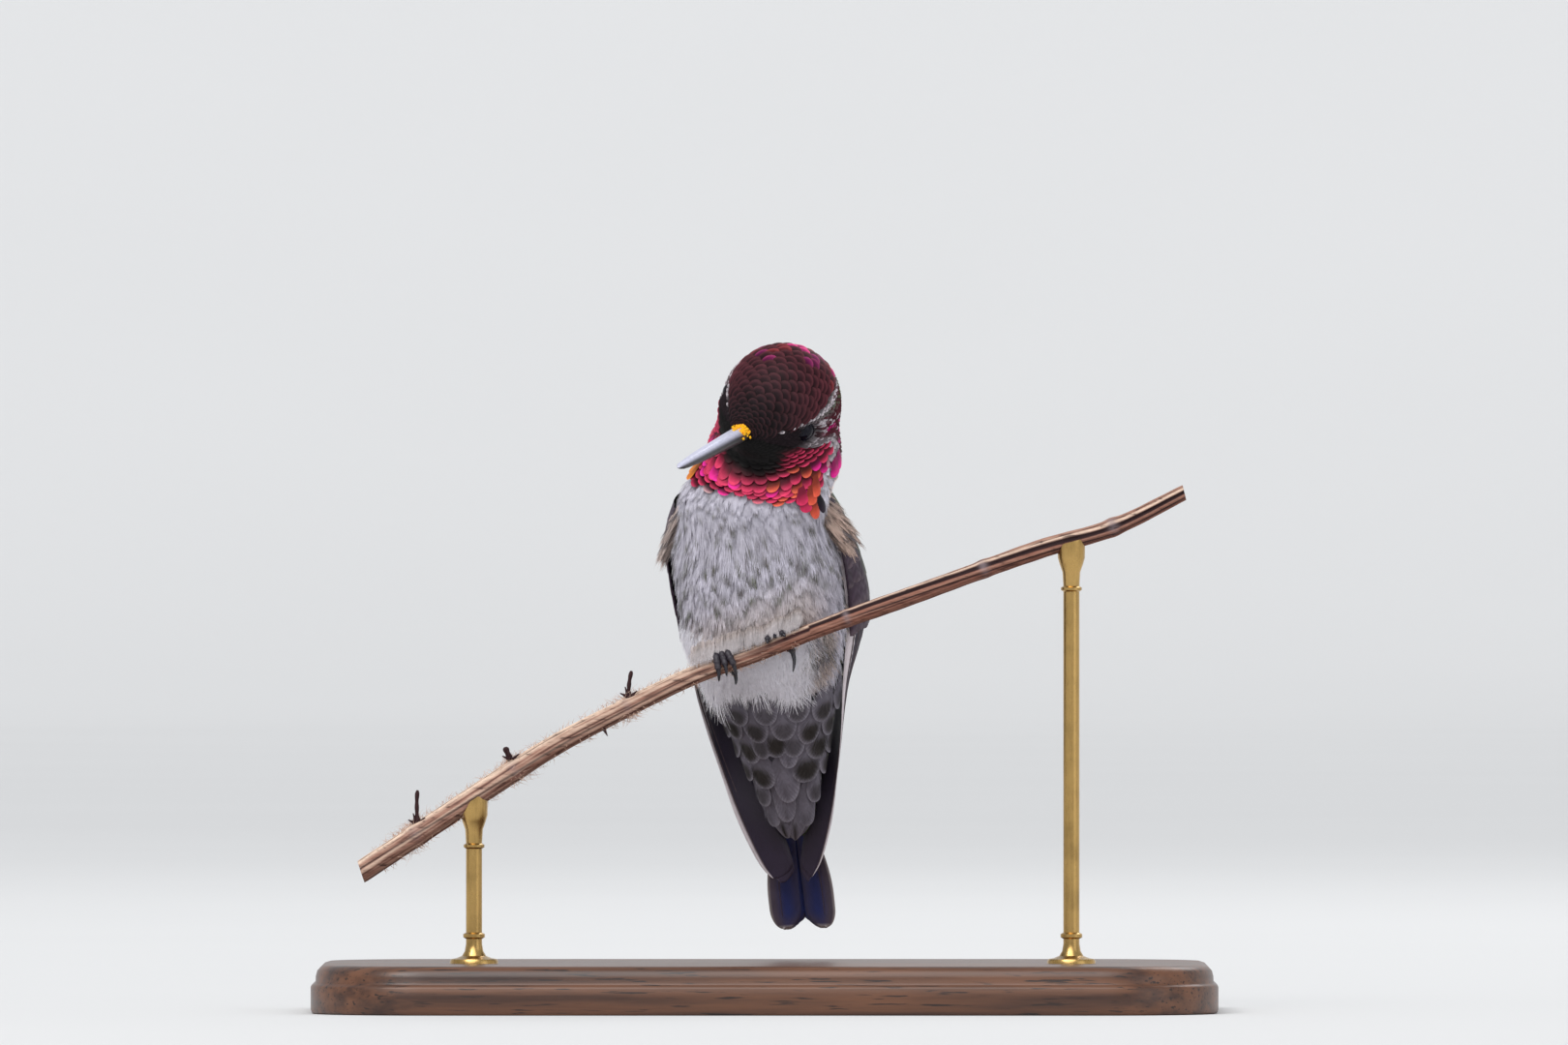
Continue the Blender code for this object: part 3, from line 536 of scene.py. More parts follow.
class Finish:
    """Material with one Principled BSDF. Its node method adds any other node."""

    def __init__(self, name, **constants):
        self.material = bpy.data.materials.new(name)
        self.material.use_nodes = True
        self.tree = self.material.node_tree
        self.shader = self.tree.nodes["Principled BSDF"]
        for title, value in constants.items():
            self.shader.inputs[title.replace("_", " ")].default_value = value

    def node(self, kind, settings, inputs, output=0):
        """New node: its settings first, then a value or a link for each input by name or number."""
        node = self.tree.nodes.new(kind)
        for title, value in settings.items():
            setattr(node, title, value)
        for title, value in inputs.items():
            if isinstance(value, Value):
                self.tree.links.new(value.socket, node.inputs[title])
            else:
                node.inputs[title].default_value = value
        return Value(self, node.outputs[output])

    def feed(self, title, value):
        """Link a value to the shader."""
        self.tree.links.new(value.socket, self.shader.inputs[title])

    def attribute(self, title, output="Fac"):
        """Number, or with output Color the colour, that the mesh holds at each point."""
        return self.node("ShaderNodeAttribute", {"attribute_name": title}, {}, output)

    def noise(self, scale, detail, stretch=(1.0, 1.0, 1.0)):
        """Cloudy noise, 0 to 1, on object coordinates in millimetres that are stretched first."""
        coordinates = self.node("ShaderNodeTexCoord", {}, {}, "Object")
        place = self.node("ShaderNodeMapping", {}, {"Vector": coordinates, "Scale": toned(stretch, 1 / MM)})
        return self.node("ShaderNodeTexNoise", {}, {"Vector": place, "Scale": scale, "Detail": detail,
                                                    "Roughness": 0.55})

    def between(self, value, low, high):
        """0 at low, 1 at high, with an S-curve between."""
        return self.node("ShaderNodeMapRange", {"interpolation_type": "SMOOTHSTEP"},
                         {"Value": value, "From Min": low, "From Max": high})

    def mix(self, first, second, share, way="MIX"):
        """Colour between two colours, each a value or three channels."""
        first, second = (end if isinstance(end, Value) else (*end, 1.0) for end in (first, second))
        return self.node("ShaderNodeMix", {"data_type": "RGBA", "blend_type": way},
                         {0: share, 6: first, 7: second}, 2)

    def shaded(self, shade):
        """The colour that the mesh holds at each point, darkened by a value."""
        grey = self.node("ShaderNodeCombineColor", {}, {0: shade, 1: shade, 2: shade})
        return self.mix(self.attribute("tint", "Color"), grey, 1.0, "MULTIPLY")

    def relief(self, height, strength, distance=0.0001):
        """Bumps from a height value."""
        bump = self.node("ShaderNodeBump", {}, {"Height": height, "Strength": strength, "Distance": distance})
        self.feed("Normal", bump)


def feather_finish(name, barbs, skew, contrast, relief, roughness, **constants):
    """Finish of small feathers: the colour held at each point, lined by fine barbs that run out and forward
    from the shaft. A barb line is sin(barbs * along + skew * |across|)."""
    finish = Finish(name, **constants)
    along, across, tone = (finish.attribute(title) for title in ("along", "across", "tone"))
    line = (along * barbs - across.size() * skew + tone * 6.0).sine() * 0.5 + 0.5
    speck = finish.noise(2.2, 4.0)
    finish.feed("Base Color", finish.shaded((1.0 - line * contrast) * (speck * 0.5 + 0.75)))
    finish.feed("Roughness", line * 0.12 + speck * 0.1 + roughness)
    finish.relief(line, relief)
    return finish


# ---------------------------------------------------------------- markings

# Lines on the head as pairs: side is 0 on the crown and 1 on the throat, and share is 0 at the bill
CROWN_EDGE = ((0.0, 0.21), (0.05, 0.16), (0.1, 0.115), (0.175, 0.103), (0.217, 0.097), (0.26, 0.085),
              (0.31, 0.065), (0.36, 0.047), (0.41, 0.02))
BROW_WIDTH = ((0.06, 0.0), (0.1, 0.012), (0.2, 0.012), (0.3, 0.006), (0.36, 0.002))
THROAT_START = ((0.46, 0.11), (0.6, 0.11), (0.7, 0.142), (0.8, 0.19), (0.9, 0.209), (1.0, 0.209))
THROAT_END = ((0.46, 0.2), (0.5, 0.243), (0.56, 0.262), (0.61, 0.3), (0.66, 0.335), (0.7, 0.322),
              (0.75, 0.292), (0.82, 0.287), (0.91, 0.272), (1.0, 0.263))
THROAT_FAR_END = ((0.46, 0.22), (0.58, 0.285), (0.7, 0.295), (0.8, 0.285), (0.92, 0.266), (1.0, 0.263))
# Soft round patches as pairs: the middle's share and side, and the half-sizes in both
CROWN_PATCH = ((0.19, 0.32), (0.1, 0.12))
MAGENTA_PATCH = ((0.135, 0.36), (0.02, 0.03))
PALE_PATCHES = (((0.215, 0.51), (0.05, 0.07)), ((0.262, 0.48), (0.045, 0.07)), ((0.12, 0.39), (0.015, 0.05)))
NECK_PATCH = ((0.335, 0.5), (0.06, 0.11))
EYE_PATCH = ((0.107, 0.31), (0.012, 0.03))


def underside(around):
    """0 on the crown and back, 0.5 at the sides and 1 on the throat and belly."""
    return 1 - np.abs(1 - 2 * np.mod(around, 1.0))


def edge_of(line, side):
    """A boundary's share at each side value."""
    return np.interp(side, *zip(*line))


def on_crown(share, around):
    """1 on the crown's patch of scales, 0 off it."""
    side = underside(around)
    return smooth(0.004, -0.004, share - edge_of(CROWN_EDGE, side)) * (side < 0.4)


def on_throat(share, around):
    """1 on the throat's patch of scales, with the chin painted black as shade, 0 off it."""
    side = underside(around)
    near = np.mod(around, 1.0) < 0.5
    end = np.where(near, edge_of(THROAT_END, side), edge_of(THROAT_FAR_END, side))
    return smooth(0.004, -0.004, share - end) * (side > np.where(near, 0.5, 0.47))


def near_perch(share, around, far, near):
    """0 where the hull lies more than far above the twig's middle line as the viewer sees it, 1 below
    near."""
    place = hull().at(share, around)
    return smooth(far, near, place[..., 2] - perch_middle(place[..., 0])[..., 2]) * smooth(0.3, 0.36, share)


def patch(share, side, middle, half):
    """Round soft patch: 1 in the middle and 0 outside."""
    return smooth(1.2, 0.6, ((share - middle[0]) / half[0]) ** 2 + ((side - middle[1]) / half[1]) ** 2)


def markings(share, around):
    """Colour of skin and coat at each place, as linear red, green and blue. Each layer covers the ones before
    it."""
    look = bpy.context.scene.hummingbird_plumage
    share, around = np.broadcast_arrays(np.asarray(share, float), np.asarray(around, float))
    side = underside(around)
    past = share - edge_of(CROWN_EDGE, side)
    wide = edge_of(BROW_WIDTH, side)
    brow = smooth(-0.001, 0.0015, past) * smooth(wide + 0.003, wide, past) * smooth(0.05, 0.09, side)
    # Painted light: the throat's scales are black as shade below the bill and turn rose further out, where
    # they catch the light
    glow = smooth(-0.03, 0.035, share - edge_of(THROAT_START, side))
    throat = blend(blend(look.chin, toned(look.crown, 0.5), smooth(0.0, 0.5, glow)), look.rose,
                   smooth(0.3, 1.0, glow))
    # Painted light: the crown's scales turn from the forehead's painted shade to lit maroon away from the
    # bill
    lit = smooth(0.045, 0.135, share + 0.012 * np.cos(2 * np.pi * (around - 0.85)))
    layers = [
        (look.ear, smooth(0.16, 0.3, side) * smooth(0.34, 0.26, share)),
        (look.breast, smooth(0.42, 0.52, side) * smooth(0.22, 0.27, share)),
        (look.belly, 0.9 * smooth(0.45, 0.56, side) * near_perch(share, around, 8.0, 0.8)
         * smooth(0.3, 0.4, around)),
        (look.vent, smooth(0.355, 0.4, around) * smooth(0.72, 0.66, around)
         * near_perch(share, around, 0.2, -1.2)),
        (look.covert, smooth(0.5, 0.56, side) * smooth(0.635, 0.65, share)),
        (look.crown, 0.95 * patch(share, side, *CROWN_PATCH)),
        (look.magenta, 0.5 * patch(share, side, *MAGENTA_PATCH)),
        *((toned(look.brow, 0.9), 0.9 * patch(share, side, *pale)) for pale in PALE_PATCHES),
        (look.neck, patch(share, side, *NECK_PATCH)),
        (look.forehead, smooth(0.13, 0.1, share - 0.04 * smooth(0.5, 0.6, side)) * smooth(0.26, 0.32, side)),
        (look.brow, brow * smooth(0.38, 0.33, side) * (1 - 0.45 * smooth(0.105, 0.14, share))),
        (look.brow, patch(share, side, *EYE_PATCH)),
        (throat, on_throat(share, around)),
        (blend(look.forehead, look.crown, lit), on_crown(share, around)),
    ]
    colour = look.nape
    for layer, cover in layers:
        colour = blend(colour, layer, cover)
    return colour


# ---------------------------------------------------------------- feathers

class Pattern:
    """One feather's shape: x across and y along, both for a feather 1 wide and 1 long, and z up in widths."""

    def __init__(self, x, y, z, faces):
        self.x, self.y, self.z = (part.ravel() for part in np.broadcast_arrays(x, y, z))
        self.faces = faces


ROUND_FROM = 0.58       # where along a scale its round end begins
UV_PATCH = 0.003        # each tuft's size on the map that its colours are baked on


def scale_pattern(rows=7, columns=5, narrow=0.4, camber=0.04):
    """Rounded scale. Its half-width rises smoothly to 0.5 at ROUND_FROM, then follows a blunt ellipse to the
    tip: y = ROUND_FROM + (1 - ROUND_FROM) * sin(a) and half = 0.5 * cos(a) ** 0.8. Its sides dip by camber *
    (2 x) ** 2."""
    rise = np.linspace(0, 1, max(rows // 3, 2), endpoint=False)
    a = np.linspace(0, np.pi / 2, rows - len(rise))
    y = np.concatenate([ROUND_FROM * rise, ROUND_FROM + (1 - ROUND_FROM) * np.sin(a)])[:, None]
    half = np.concatenate([narrow + (1 - narrow) * smooth(0, 1, rise),
                           np.maximum(np.cos(a), 0.03) ** 0.8])[:, None]
    across = np.linspace(-1, 1, columns)[None, :]
    return Pattern(0.5 * half * across, y, -camber * (half * across) ** 2, grid_faces(rows, columns))


def scale_edge(along, across):
    """0 on a scale's middle and 1 all round the margin of its round end."""
    return np.hypot(np.maximum(along - ROUND_FROM, 0) / (1 - ROUND_FROM), across)


def barbed_pattern(seed, barbs, steps, loose):
    """Soft feather of separate barbs. Barb number q, from -1 to 1, ends on the margin, an ellipse, at an
    angle of 95 * q degrees. It leaves the shaft 0.4 + 0.2 * |q| further back and bends out and forward as a
    narrow strip."""
    random = np.random.default_rng(seed)
    q = np.linspace(-1, 1, barbs) + random.uniform(-0.4, 0.4, barbs) / barbs
    angle = np.radians(95) * q
    reach = 1 - loose * random.uniform(0, 0.28, barbs)
    end = np.stack([0.5 * np.sin(angle), 0.42 + 0.58 * np.cos(angle)], axis=-1) * reach[:, None]
    leaving = np.maximum(end[:, 1] - 0.4 - 0.2 * np.abs(q), 0.02 + 0.1 * (1 - np.abs(q)))
    start = np.stack([-0.04 * np.sign(q), leaving], axis=-1)
    t = np.linspace(0, 1, steps)[None, :, None]
    bend = (end - start)[:, None] * (0.35, -0.1) * 0.35
    path = start[:, None] * (1 - t) + end[:, None] * t + bend * (4 * t * (1 - t))
    along = unit(np.gradient(path, axis=1))
    side = np.stack([along[..., 1], -along[..., 0]], axis=-1)
    edges, faces = strips(path, side * (1.1 / barbs) * (1.5 - 1.35 * t))
    lift = 0.02 * random.standard_normal(barbs)[:, None, None] * t
    return Pattern(edges[..., 0], edges[..., 1], lift - 0.05 * (2 * edges[..., 0]) ** 2, faces)


def down_pattern(seed, strands=20, steps=4, fan=0.55):
    """Tuft of soft strands: each runs forward from the root, drifts sideways by fan, and waves by a sine of
    its own length."""
    random = np.random.default_rng(seed)
    aim = random.uniform(-1, 1, strands)[:, None]
    t = np.linspace(0, 1, steps)[None, :]
    length = random.uniform(0.6, 1.0, strands)[:, None]
    wave = 0.06 * np.sin(7 * t + random.uniform(0, 6.3, strands)[:, None]) * t
    path = np.stack([fan * aim * t ** 1.2 + 0.12 * aim + wave, t * length], axis=-1)
    edges, faces = strips(path, np.stack([0.02 * (1.15 - t), 0 * t], axis=-1))
    lift = (random.uniform(-0.02, 0.1, strands)[:, None] * t)[..., None]
    return Pattern(edges[..., 0], edges[..., 1], lift, faces)


MERIDIAN, ROUND_STEPS = 400, 361        # points that arc lengths are measured by


def tract(low, high, middle, pitch, spread, seed, loose=1.0):
    """Roots in staggered rows over shares low to high. Rows lie pitch(share) apart along the meridian middle,
    and roots lie spread times that apart in a row, by the arc lengths of the hull."""
    random = np.random.default_rng(seed)
    fine = np.linspace(low, high, MERIDIAN)
    long_step, _ = hull().scale(fine, np.full(MERIDIAN, middle))
    passed = np.concatenate([[0], np.cumsum(long_step[:-1] * np.diff(fine) / pitch(fine[:-1]))])
    levels = np.interp(np.arange(0.5, passed[-1]), passed, fine)
    around = np.linspace(0, 1, ROUND_STEPS)
    shares, rounds = [], []
    for number, level in enumerate(levels):
        long_step, round_step = hull().scale(np.full(ROUND_STEPS, level), around)
        gone = np.concatenate([[0], np.cumsum(round_step[:-1] * np.diff(around))])
        count = max(int(round(gone[-1] / (pitch(level) * spread))), 6)
        wobble = random.uniform(-0.22, 0.22, count) * loose
        at = np.mod((np.arange(count) + 0.5 * (number % 2) + wobble) / count, 1.0)
        at = np.interp(at, gone / gone[-1], around)
        jitter = random.uniform(-0.2, 0.2, count) * loose
        shares.append(level + jitter * pitch(level) / np.interp(at, around, long_step))
        rounds.append(at)
    return np.concatenate(shares), np.concatenate(rounds)


def plant(surface, share, around, length, width, patterns, twist=0.0, lift=0.0, root=None, seed=1):
    """Feathers on a surface. Each pattern's x and y are turned by twist, changed to shares and rounds at the
    root, and laid on the surface from the root's depth up to lift. Returns, for each pattern, the points as a
    (feather, point, 3) array, the pattern, and the feathers' numbers."""
    share, around, length, width, twist, lift = np.broadcast_arrays(share, around, length, width, twist, lift)
    root = np.broadcast_to(coat_depth(share) if root is None else root, share.shape)
    which = np.random.default_rng(seed).integers(0, len(patterns), len(share))
    long_step, round_step = surface.scale(share, around)
    groups = []
    for number, pattern in enumerate(patterns):
        mine = np.nonzero(which == number)[0]
        row = mine[:, None]
        x, y = pattern.x * width[row], pattern.y * length[row]
        angle = np.radians(twist[row])
        sideways = x * np.cos(angle) + y * np.sin(angle)
        forward = y * np.cos(angle) - x * np.sin(angle)
        rise = np.clip(pattern.y, 0, 1)
        height = lift[row] * rise - root[row] * (1 - rise) + pattern.z * width[row]
        there = surface.at(share[row] + forward / long_step[row], around[row] + sideways / round_step[row],
                           height)
        groups.append((there, pattern, mine))
    return groups


def feather_piece(name, groups, share, around, tint, finish, slot, seed=2):
    """One coat piece from planted feathers. tint(along, across, number) gives the colour of each point."""
    tone = np.random.default_rng(seed).uniform(0, 1, len(share))
    points, faces = joined([(there, copies(pattern.faces, *there.shape[:2])) for there, pattern, _ in groups])
    along = np.concatenate([np.tile(pattern.y, len(mine)) for _, pattern, mine in groups])
    across = np.concatenate([np.tile(pattern.x * 2, len(mine)) for _, pattern, mine in groups])
    number = np.concatenate([np.repeat(mine, len(pattern.y)) for _, pattern, mine in groups])
    unwrap = np.stack([np.mod(around[number], 1.0) + UV_PATCH * across / 2,
                       share[number] + UV_PATCH * (along - 0.5)], axis=-1)
    values = {"along": along, "across": across, "tone": tone[number], "tint": tint(along, across, number)}
    piece(name, points, faces, finish, slot, values=values, unwrap=unwrap)


def clear_of_eyes(share, around, length):
    """True for feathers whose root, middle and tip all stay off the open eyes."""
    long_step, _ = hull().scale(share, around)
    clear = np.ones(len(share), bool)
    for centre in eye_centres().values():
        for part in (0.0, 0.5, 1.0):
            there = hull().at(share + part * length / long_step, around)
            clear &= np.linalg.norm(there - centre, axis=-1) > EYE_CLEAR
    return clear


# ---------------------------------------------------------------- skin and eyes

SKIN_ROWS, SKIN_COLUMNS = 221, 168
EYE_RADIUS = 1.75
EYE_PLACE = (3.4, 4.65, 0.1)    # forward of the skull's middle, sideways and up
EYE_OPEN = 1.22                 # half-width of the opening between the lids
EYE_CLEAR = 2.25                # feathers stay this far from an eye's centre
LID_ROWS, LID_COLUMNS = 22, 96
LID_PROFILE = (                 # distance outside the opening, and height over the eyeball
    (-0.12, -0.25), (-0.05, 0.06), (0.03, 0.15), (0.12, 0.17), (0.24, 0.13), (0.4, 0.0), (0.62, -0.18),
    (0.8, -0.6),
)


@functools.lru_cache(maxsize=None)
def eye_centres():
    """Middle of each eye."""
    forward, sideways, up = EYE_PLACE
    return {"left": on_head(forward, sideways, up), "right": on_head(forward, -sideways, up)}


def eye_axes(centre):
    """Outward, forward and upward directions of an eye: outward is the hull's own at the nearest point."""
    away = np.linalg.norm(hull().points - centre, axis=-1)
    outward = hull().normals[np.unravel_index(np.argmin(away), away.shape)]
    forward = unit(BILLWARD - (BILLWARD @ outward) * outward)
    up = np.cross(outward, forward)
    return outward, forward, up * np.sign(up @ CROWN)


def skin_piece():
    """One skin a coat's depth under the hull, dented behind each eye's opening so that the eyeball shows."""
    share = np.linspace(0, 1, SKIN_ROWS)[:, None]
    around = np.linspace(0, 1, SKIN_COLUMNS, endpoint=False)[None, :]
    share, around = np.broadcast_arrays(share, around)
    depth = coat_depth(share)
    points = hull().at(share, around, -depth)
    for centre in eye_centres().values():
        depth = depth + 1.5 * smooth(2.0, 1.6, np.linalg.norm(points - centre, axis=-1))
    points, faces = shell(hull().at(share, around, -depth)[1:-1])
    share, around = np.append(share[1:-1], [0.0, 1.0]), np.append(around[1:-1], [0.5, 0.5])
    finish = Finish("skin_under_down", Roughness=0.85)
    down = finish.noise(6.0, 5.0, (1.0, 1.0, 0.35))
    finish.feed("Base Color", finish.shaded(down * 0.7 + 0.5))
    finish.relief(down, 0.5)
    piece("bird_skin", points, faces, finish, "plumage_breast", "head", "neck", "trunk", "tail_coverts",
          values={"tint": markings(share, around) * 0.75}, unwrap=np.stack([around, share], axis=-1))


def eye_piece(side, centre, look):
    """Eyeball: a sphere of the eye's radius, with a cornea that bulges by 0.12 * exp(-(angle / 35) ** 2)."""
    outward, forward, up = eye_axes(centre)
    tilt = np.linspace(0.02, np.pi - 0.02, 40)[:, None]
    radius = EYE_RADIUS + 0.12 * bell(np.degrees(tilt), 0, 35)
    points, faces = shell(centre + radius[..., None] * swing(tilt, outward, swing(circle(56), forward, up)))
    finish = Finish(f"eye_{side}_wet", Roughness=0.05, Coat_Weight=0.35, Coat_Roughness=0.02, Coat_IOR=1.3,
                    IOR=1.2)
    # Painted reflection: the eye's dark colour is tinted blue as the sky's sheen on it
    finish.feed("Base Color", finish.mix(toned(look.eye, 0.4), look.eye, finish.noise(3.0, 4.0)))
    piece(f"eyeball_{side}", points, faces, finish, "eye", f"eye_{side}")


def lid_piece(side, centre, look):
    """Bare lids: a ring round the eye whose profile runs from the eyeball over a rounded rim down into the
    skin. The opening is an almond: its height is 0.86 of its width."""
    outward, forward, up = eye_axes(centre)
    profile = curve(LID_PROFILE, np.linspace(0, 1, LID_ROWS))
    ring, rise = EYE_OPEN + profile[:, :1], profile[:, 1:]
    height = np.sqrt(np.maximum(EYE_RADIUS ** 2 - ring ** 2, 0.3)) + rise
    height = height + 0.022 * np.sin(26 * circle(LID_COLUMNS)) * smooth(0.02, 0.12, rise)
    rings = (centre + height[..., None] * outward
             + ring[..., None] * swing(circle(LID_COLUMNS), forward, 0.86 * up))
    points = rings.reshape(-1, 3)
    finish = Finish(f"lid_{side}_skin", Roughness=0.5)
    wrinkle = finish.noise(14.0, 4.0)
    finish.feed("Base Color", finish.mix(toned(look.lid, 0.5), look.lid, wrinkle))
    finish.relief(wrinkle, 0.35)
    faces = facing(points, grid_faces(LID_ROWS, LID_COLUMNS, closed=True), outward)
    piece(f"lid_{side}", points, faces, finish, "eye")


# ---------------------------------------------------------------- bill

BILL_LENGTH = 18.0
BILL_BURIED = 2.6
BILL_HALF_WIDTH = (1.15, 1.12, 1.0, 0.86, 0.5)
BILL_UPPER_HEIGHT = (0.95, 0.9, 0.82, 0.7, 0.42)
BILL_LOWER_HEIGHT = (0.7, 0.66, 0.58, 0.5, 0.32)
BILL_LOWER_SHORT = 1.2
BILL_ROUND = 0.04               # share at the end that rounds off
# BILL_LIT is the direction round the bill where the painted sky reflection is brightest
BILL_LIT = np.radians(118)      # direction round the bill of its brightest line
GRAINS = 300


def half_bill(length, heights, upward):
    """Half of the bill: rings of (cos(a) * half-width, sin(a) * height) above the seam, and a shallow hollow
    of a tenth of the height on the seam's side. Its end rounds off to the tip, a ridge runs along the top,
    and a slit lies over each nostril. Returns the rings, how much each point faces the light, and its
    distance forward."""
    share = np.concatenate([np.linspace(0, 1 - BILL_ROUND, 60),
                            1 - BILL_ROUND * np.cos(np.linspace(0.1, 1.5, 10))])
    blunt = np.sqrt(np.clip((1 - share) / BILL_ROUND, 0.004, 1))[:, None]
    forward = (-BILL_BURIED + share * (length + BILL_BURIED))[:, None]
    angle = circle(44)[None, :]
    above = angle < np.pi
    across = np.cos(angle) * curve(BILL_HALF_WIDTH, share)[:, None] * blunt
    rise = np.where(angle <= np.pi, 1, 0.1) * np.sin(angle) * curve(heights, share)[:, None] * blunt
    slit = bell(forward, 1.6, 1.3) * bell(np.abs(across), 0.72, 0.12) * (upward > 0)
    rise = rise + (0.07 * bell(across, 0, 0.16) * blunt - 0.16 * slit) * above
    points = (BILL_ROOT + forward[..., None] * BILLWARD + across[..., None] * CHEEK
              + (upward * (rise + 0.03))[..., None] * CROWN)
    # top: how much each point faces the light, for the painted sky reflection
    top = np.where(angle <= np.pi, np.cos(angle - BILL_LIT), 0.0)
    return points, top, forward


def bill_piece(name, node, length, heights, upward, look):
    """One half of the bill, pale where the sky lights it and dark beneath, with fine lengthwise ridges."""
    rings, top, forward = half_bill(length, heights, upward)
    # Painted sky reflection: pale on the upper half where it faces the light, little on the lower half
    lit = smooth(0.1, 0.85, top) * (1.0 if upward > 0 else 0.12) * smooth(-1.0, 2.5, forward)
    tint = blend(look.bill_under, look.bill_sky_reflection, lit).reshape(-1, 3)
    finish = Finish(f"{name}_horn", Coat_Weight=0.25, Coat_Roughness=0.2)
    grain = finish.noise(3.5, 4.0, (1.0, 0.5, 1.4))
    finish.feed("Base Color", finish.shaded(grain * 0.45 + finish.noise(1.3, 5.0) * 0.35 + 0.6))
    finish.feed("Roughness", grain * 0.25 + 0.24)
    finish.relief(grain, 0.25)
    piece(name, *shell(rings), finish, "bill", node, values={"tint": ended(tint)})


def pollen_piece(look):
    """Grains of pollen on the bill's root and the feathers over it: small lumpy balls."""
    random = np.random.default_rng(77)
    forward = random.normal(0.75, 0.8, GRAINS)
    sideways = random.normal(0.1, 0.45, GRAINS)
    up = (0.92 + 0.3 * random.random(GRAINS) ** 2 - 0.06 * np.maximum(forward, 0)
          + 0.55 * smooth(0.4, -1.8, forward))
    up = up - 0.35 * sideways ** 2
    centres = BILL_ROOT + np.stack([forward, sideways, up], axis=-1) @ HEAD_AXES
    radius = random.uniform(0.08, 0.22, GRAINS)
    ball, faces = shell(sphere(5, 6, 0.2))
    lumps = 1 + 0.18 * random.standard_normal((GRAINS, len(ball), 1))
    grains = centres[:, None] + ball * radius[:, None, None] * lumps
    finish = Finish("pollen_dust", Roughness=0.8)
    cloud = finish.noise(5.0, 3.0)
    warm = toned(look.pollen, 1.0, 0.6, 1.0)
    finish.feed("Base Color", finish.mix(warm, look.pollen, finish.between(cloud, 0.35, 0.6)))
    finish.relief(cloud, 0.4)
    piece("pollen_grains", grains.reshape(-1, 3), copies(faces, GRAINS, len(ball)), finish, "bill")


# ---------------------------------------------------------------- coats of small feathers

def head_coat(name, share_range, middle, keep, pitch, sizes, finish, slot, tint, seed, lift, rows=7,
              columns=5):
    """Coat piece of scales on part of the head: keep chooses the places that tips may reach. The three sizes,
    the spread, length and width, are in row distances."""
    spread, long, wide = sizes
    share, around = tract(*share_range, middle, pitch, spread, seed, 0.35)
    length, width = pitch(share) * long, pitch(share) * wide
    seen = share + 0.82 * length / hull().scale(share, around)[0]
    chosen = keep(seen, around) & clear_of_eyes(share, around, length)
    share, around, length, width, seen = (values[chosen] for values in (share, around, length, width, seen))
    random = np.random.default_rng(seed + 1)
    twist = random.normal(0, 3, len(share))
    rise = lift + random.uniform(-0.02, 0.04, len(share))
    groups = plant(hull(), share, around, length, width, [scale_pattern(rows, columns)], twist, rise,
                   seed=seed)
    feather_piece(name, groups, share, around, tint(seen, around, random), finish, slot, seed)


def scale_tint(rim_share, rim_of, wild=(), deep=0.35, bright_from=0.56):
    """Maker of a scale's colours: the marking where it shows, a rim in its own colour, and now and then a
    wilder feather, from pairs of how often at each place and its colour. deep is the brightness of the
    painted shade on its covered half, under the row before."""
    def make(share, around, random):
        wilder = random.random(len(share))
        level = random.uniform(0.78, 1.2, len(share))[:, None]
        colours = markings(share, around) * level
        for often, other in wild:
            hit = (wilder < often(share, around))[:, None]
            colours = np.where(hit, colours * 0.15 + 0.85 * np.asarray(other) * level, colours)

        def tint(along, across, number):
            colour = colours[number]
            colour = blend(colour, rim_of(colour), smooth(0.6, 0.88, scale_edge(along, across)) * rim_share)
            # Painted shade: dark at the covered root, brightening from bright_from towards the tip
            return colour * (deep + (1 - deep) * smooth(bright_from, bright_from + 0.38, along))[..., None]
        return tint
    return make


def crown_coat(look):
    """Scales of the crown: near black over the bill as painted shade where they catch no light, maroon
    above, with copper rims and a few magenta ones."""
    def spot(share, around, at, place):
        return 0.9 * bell(share, at, 0.008) * bell(np.sin(np.pi * (around - place)), 0, 0.036)

    def warm(share, around):
        return 0.45 * smooth(0.08, 0.11, share) + spot(share, around, 0.088, 0.97)

    def violet(share, around):
        return (0.05 * smooth(0.06, 0.1, share) + spot(share, around, 0.083, 0.943)
                + spot(share, around, 0.1, 0.02))

    def rear(share, around):
        return 0.06 * smooth(0.1, 0.115, share) + spot(share, around, 0.094, 0.992)

    def pitch(share):
        """Distance between rows: tiny over the bill and larger towards the nape."""
        return look.crown_scale / MM * 0.5 * np.interp(share, (0.015, 0.03, 0.05, 0.07, 0.1),
                                                       (0.28, 0.48, 0.78, 0.96, 1.08))

    def rim(colour):
        return colour * 1.2 + np.asarray(look.crown_rim) * (0.08 + 2.2 * colour[..., :1])
    finish = feather_finish("crown_scales", 120.0, 40.0, 0.2, 0.15, 0.42, Metallic=0.2,
                            Specular_IOR_Level=0.14)
    tint = scale_tint(0.6, rim, ((warm, toned(look.crown, 1.9, 1.2, 0.9)),
                                 (violet, toned(look.magenta, 0.2, 1.0, 0.3)),
                                 (rear, toned(look.magenta, 0.75))))
    head_coat("coat_crown", (0.008, 0.22), 0.97, lambda share, around: on_crown(share, around) > 0.5, pitch,
              (1.85, 2.7, 2.15), finish, "plumage_crown", tint, 11, 0.09, 9, 7)


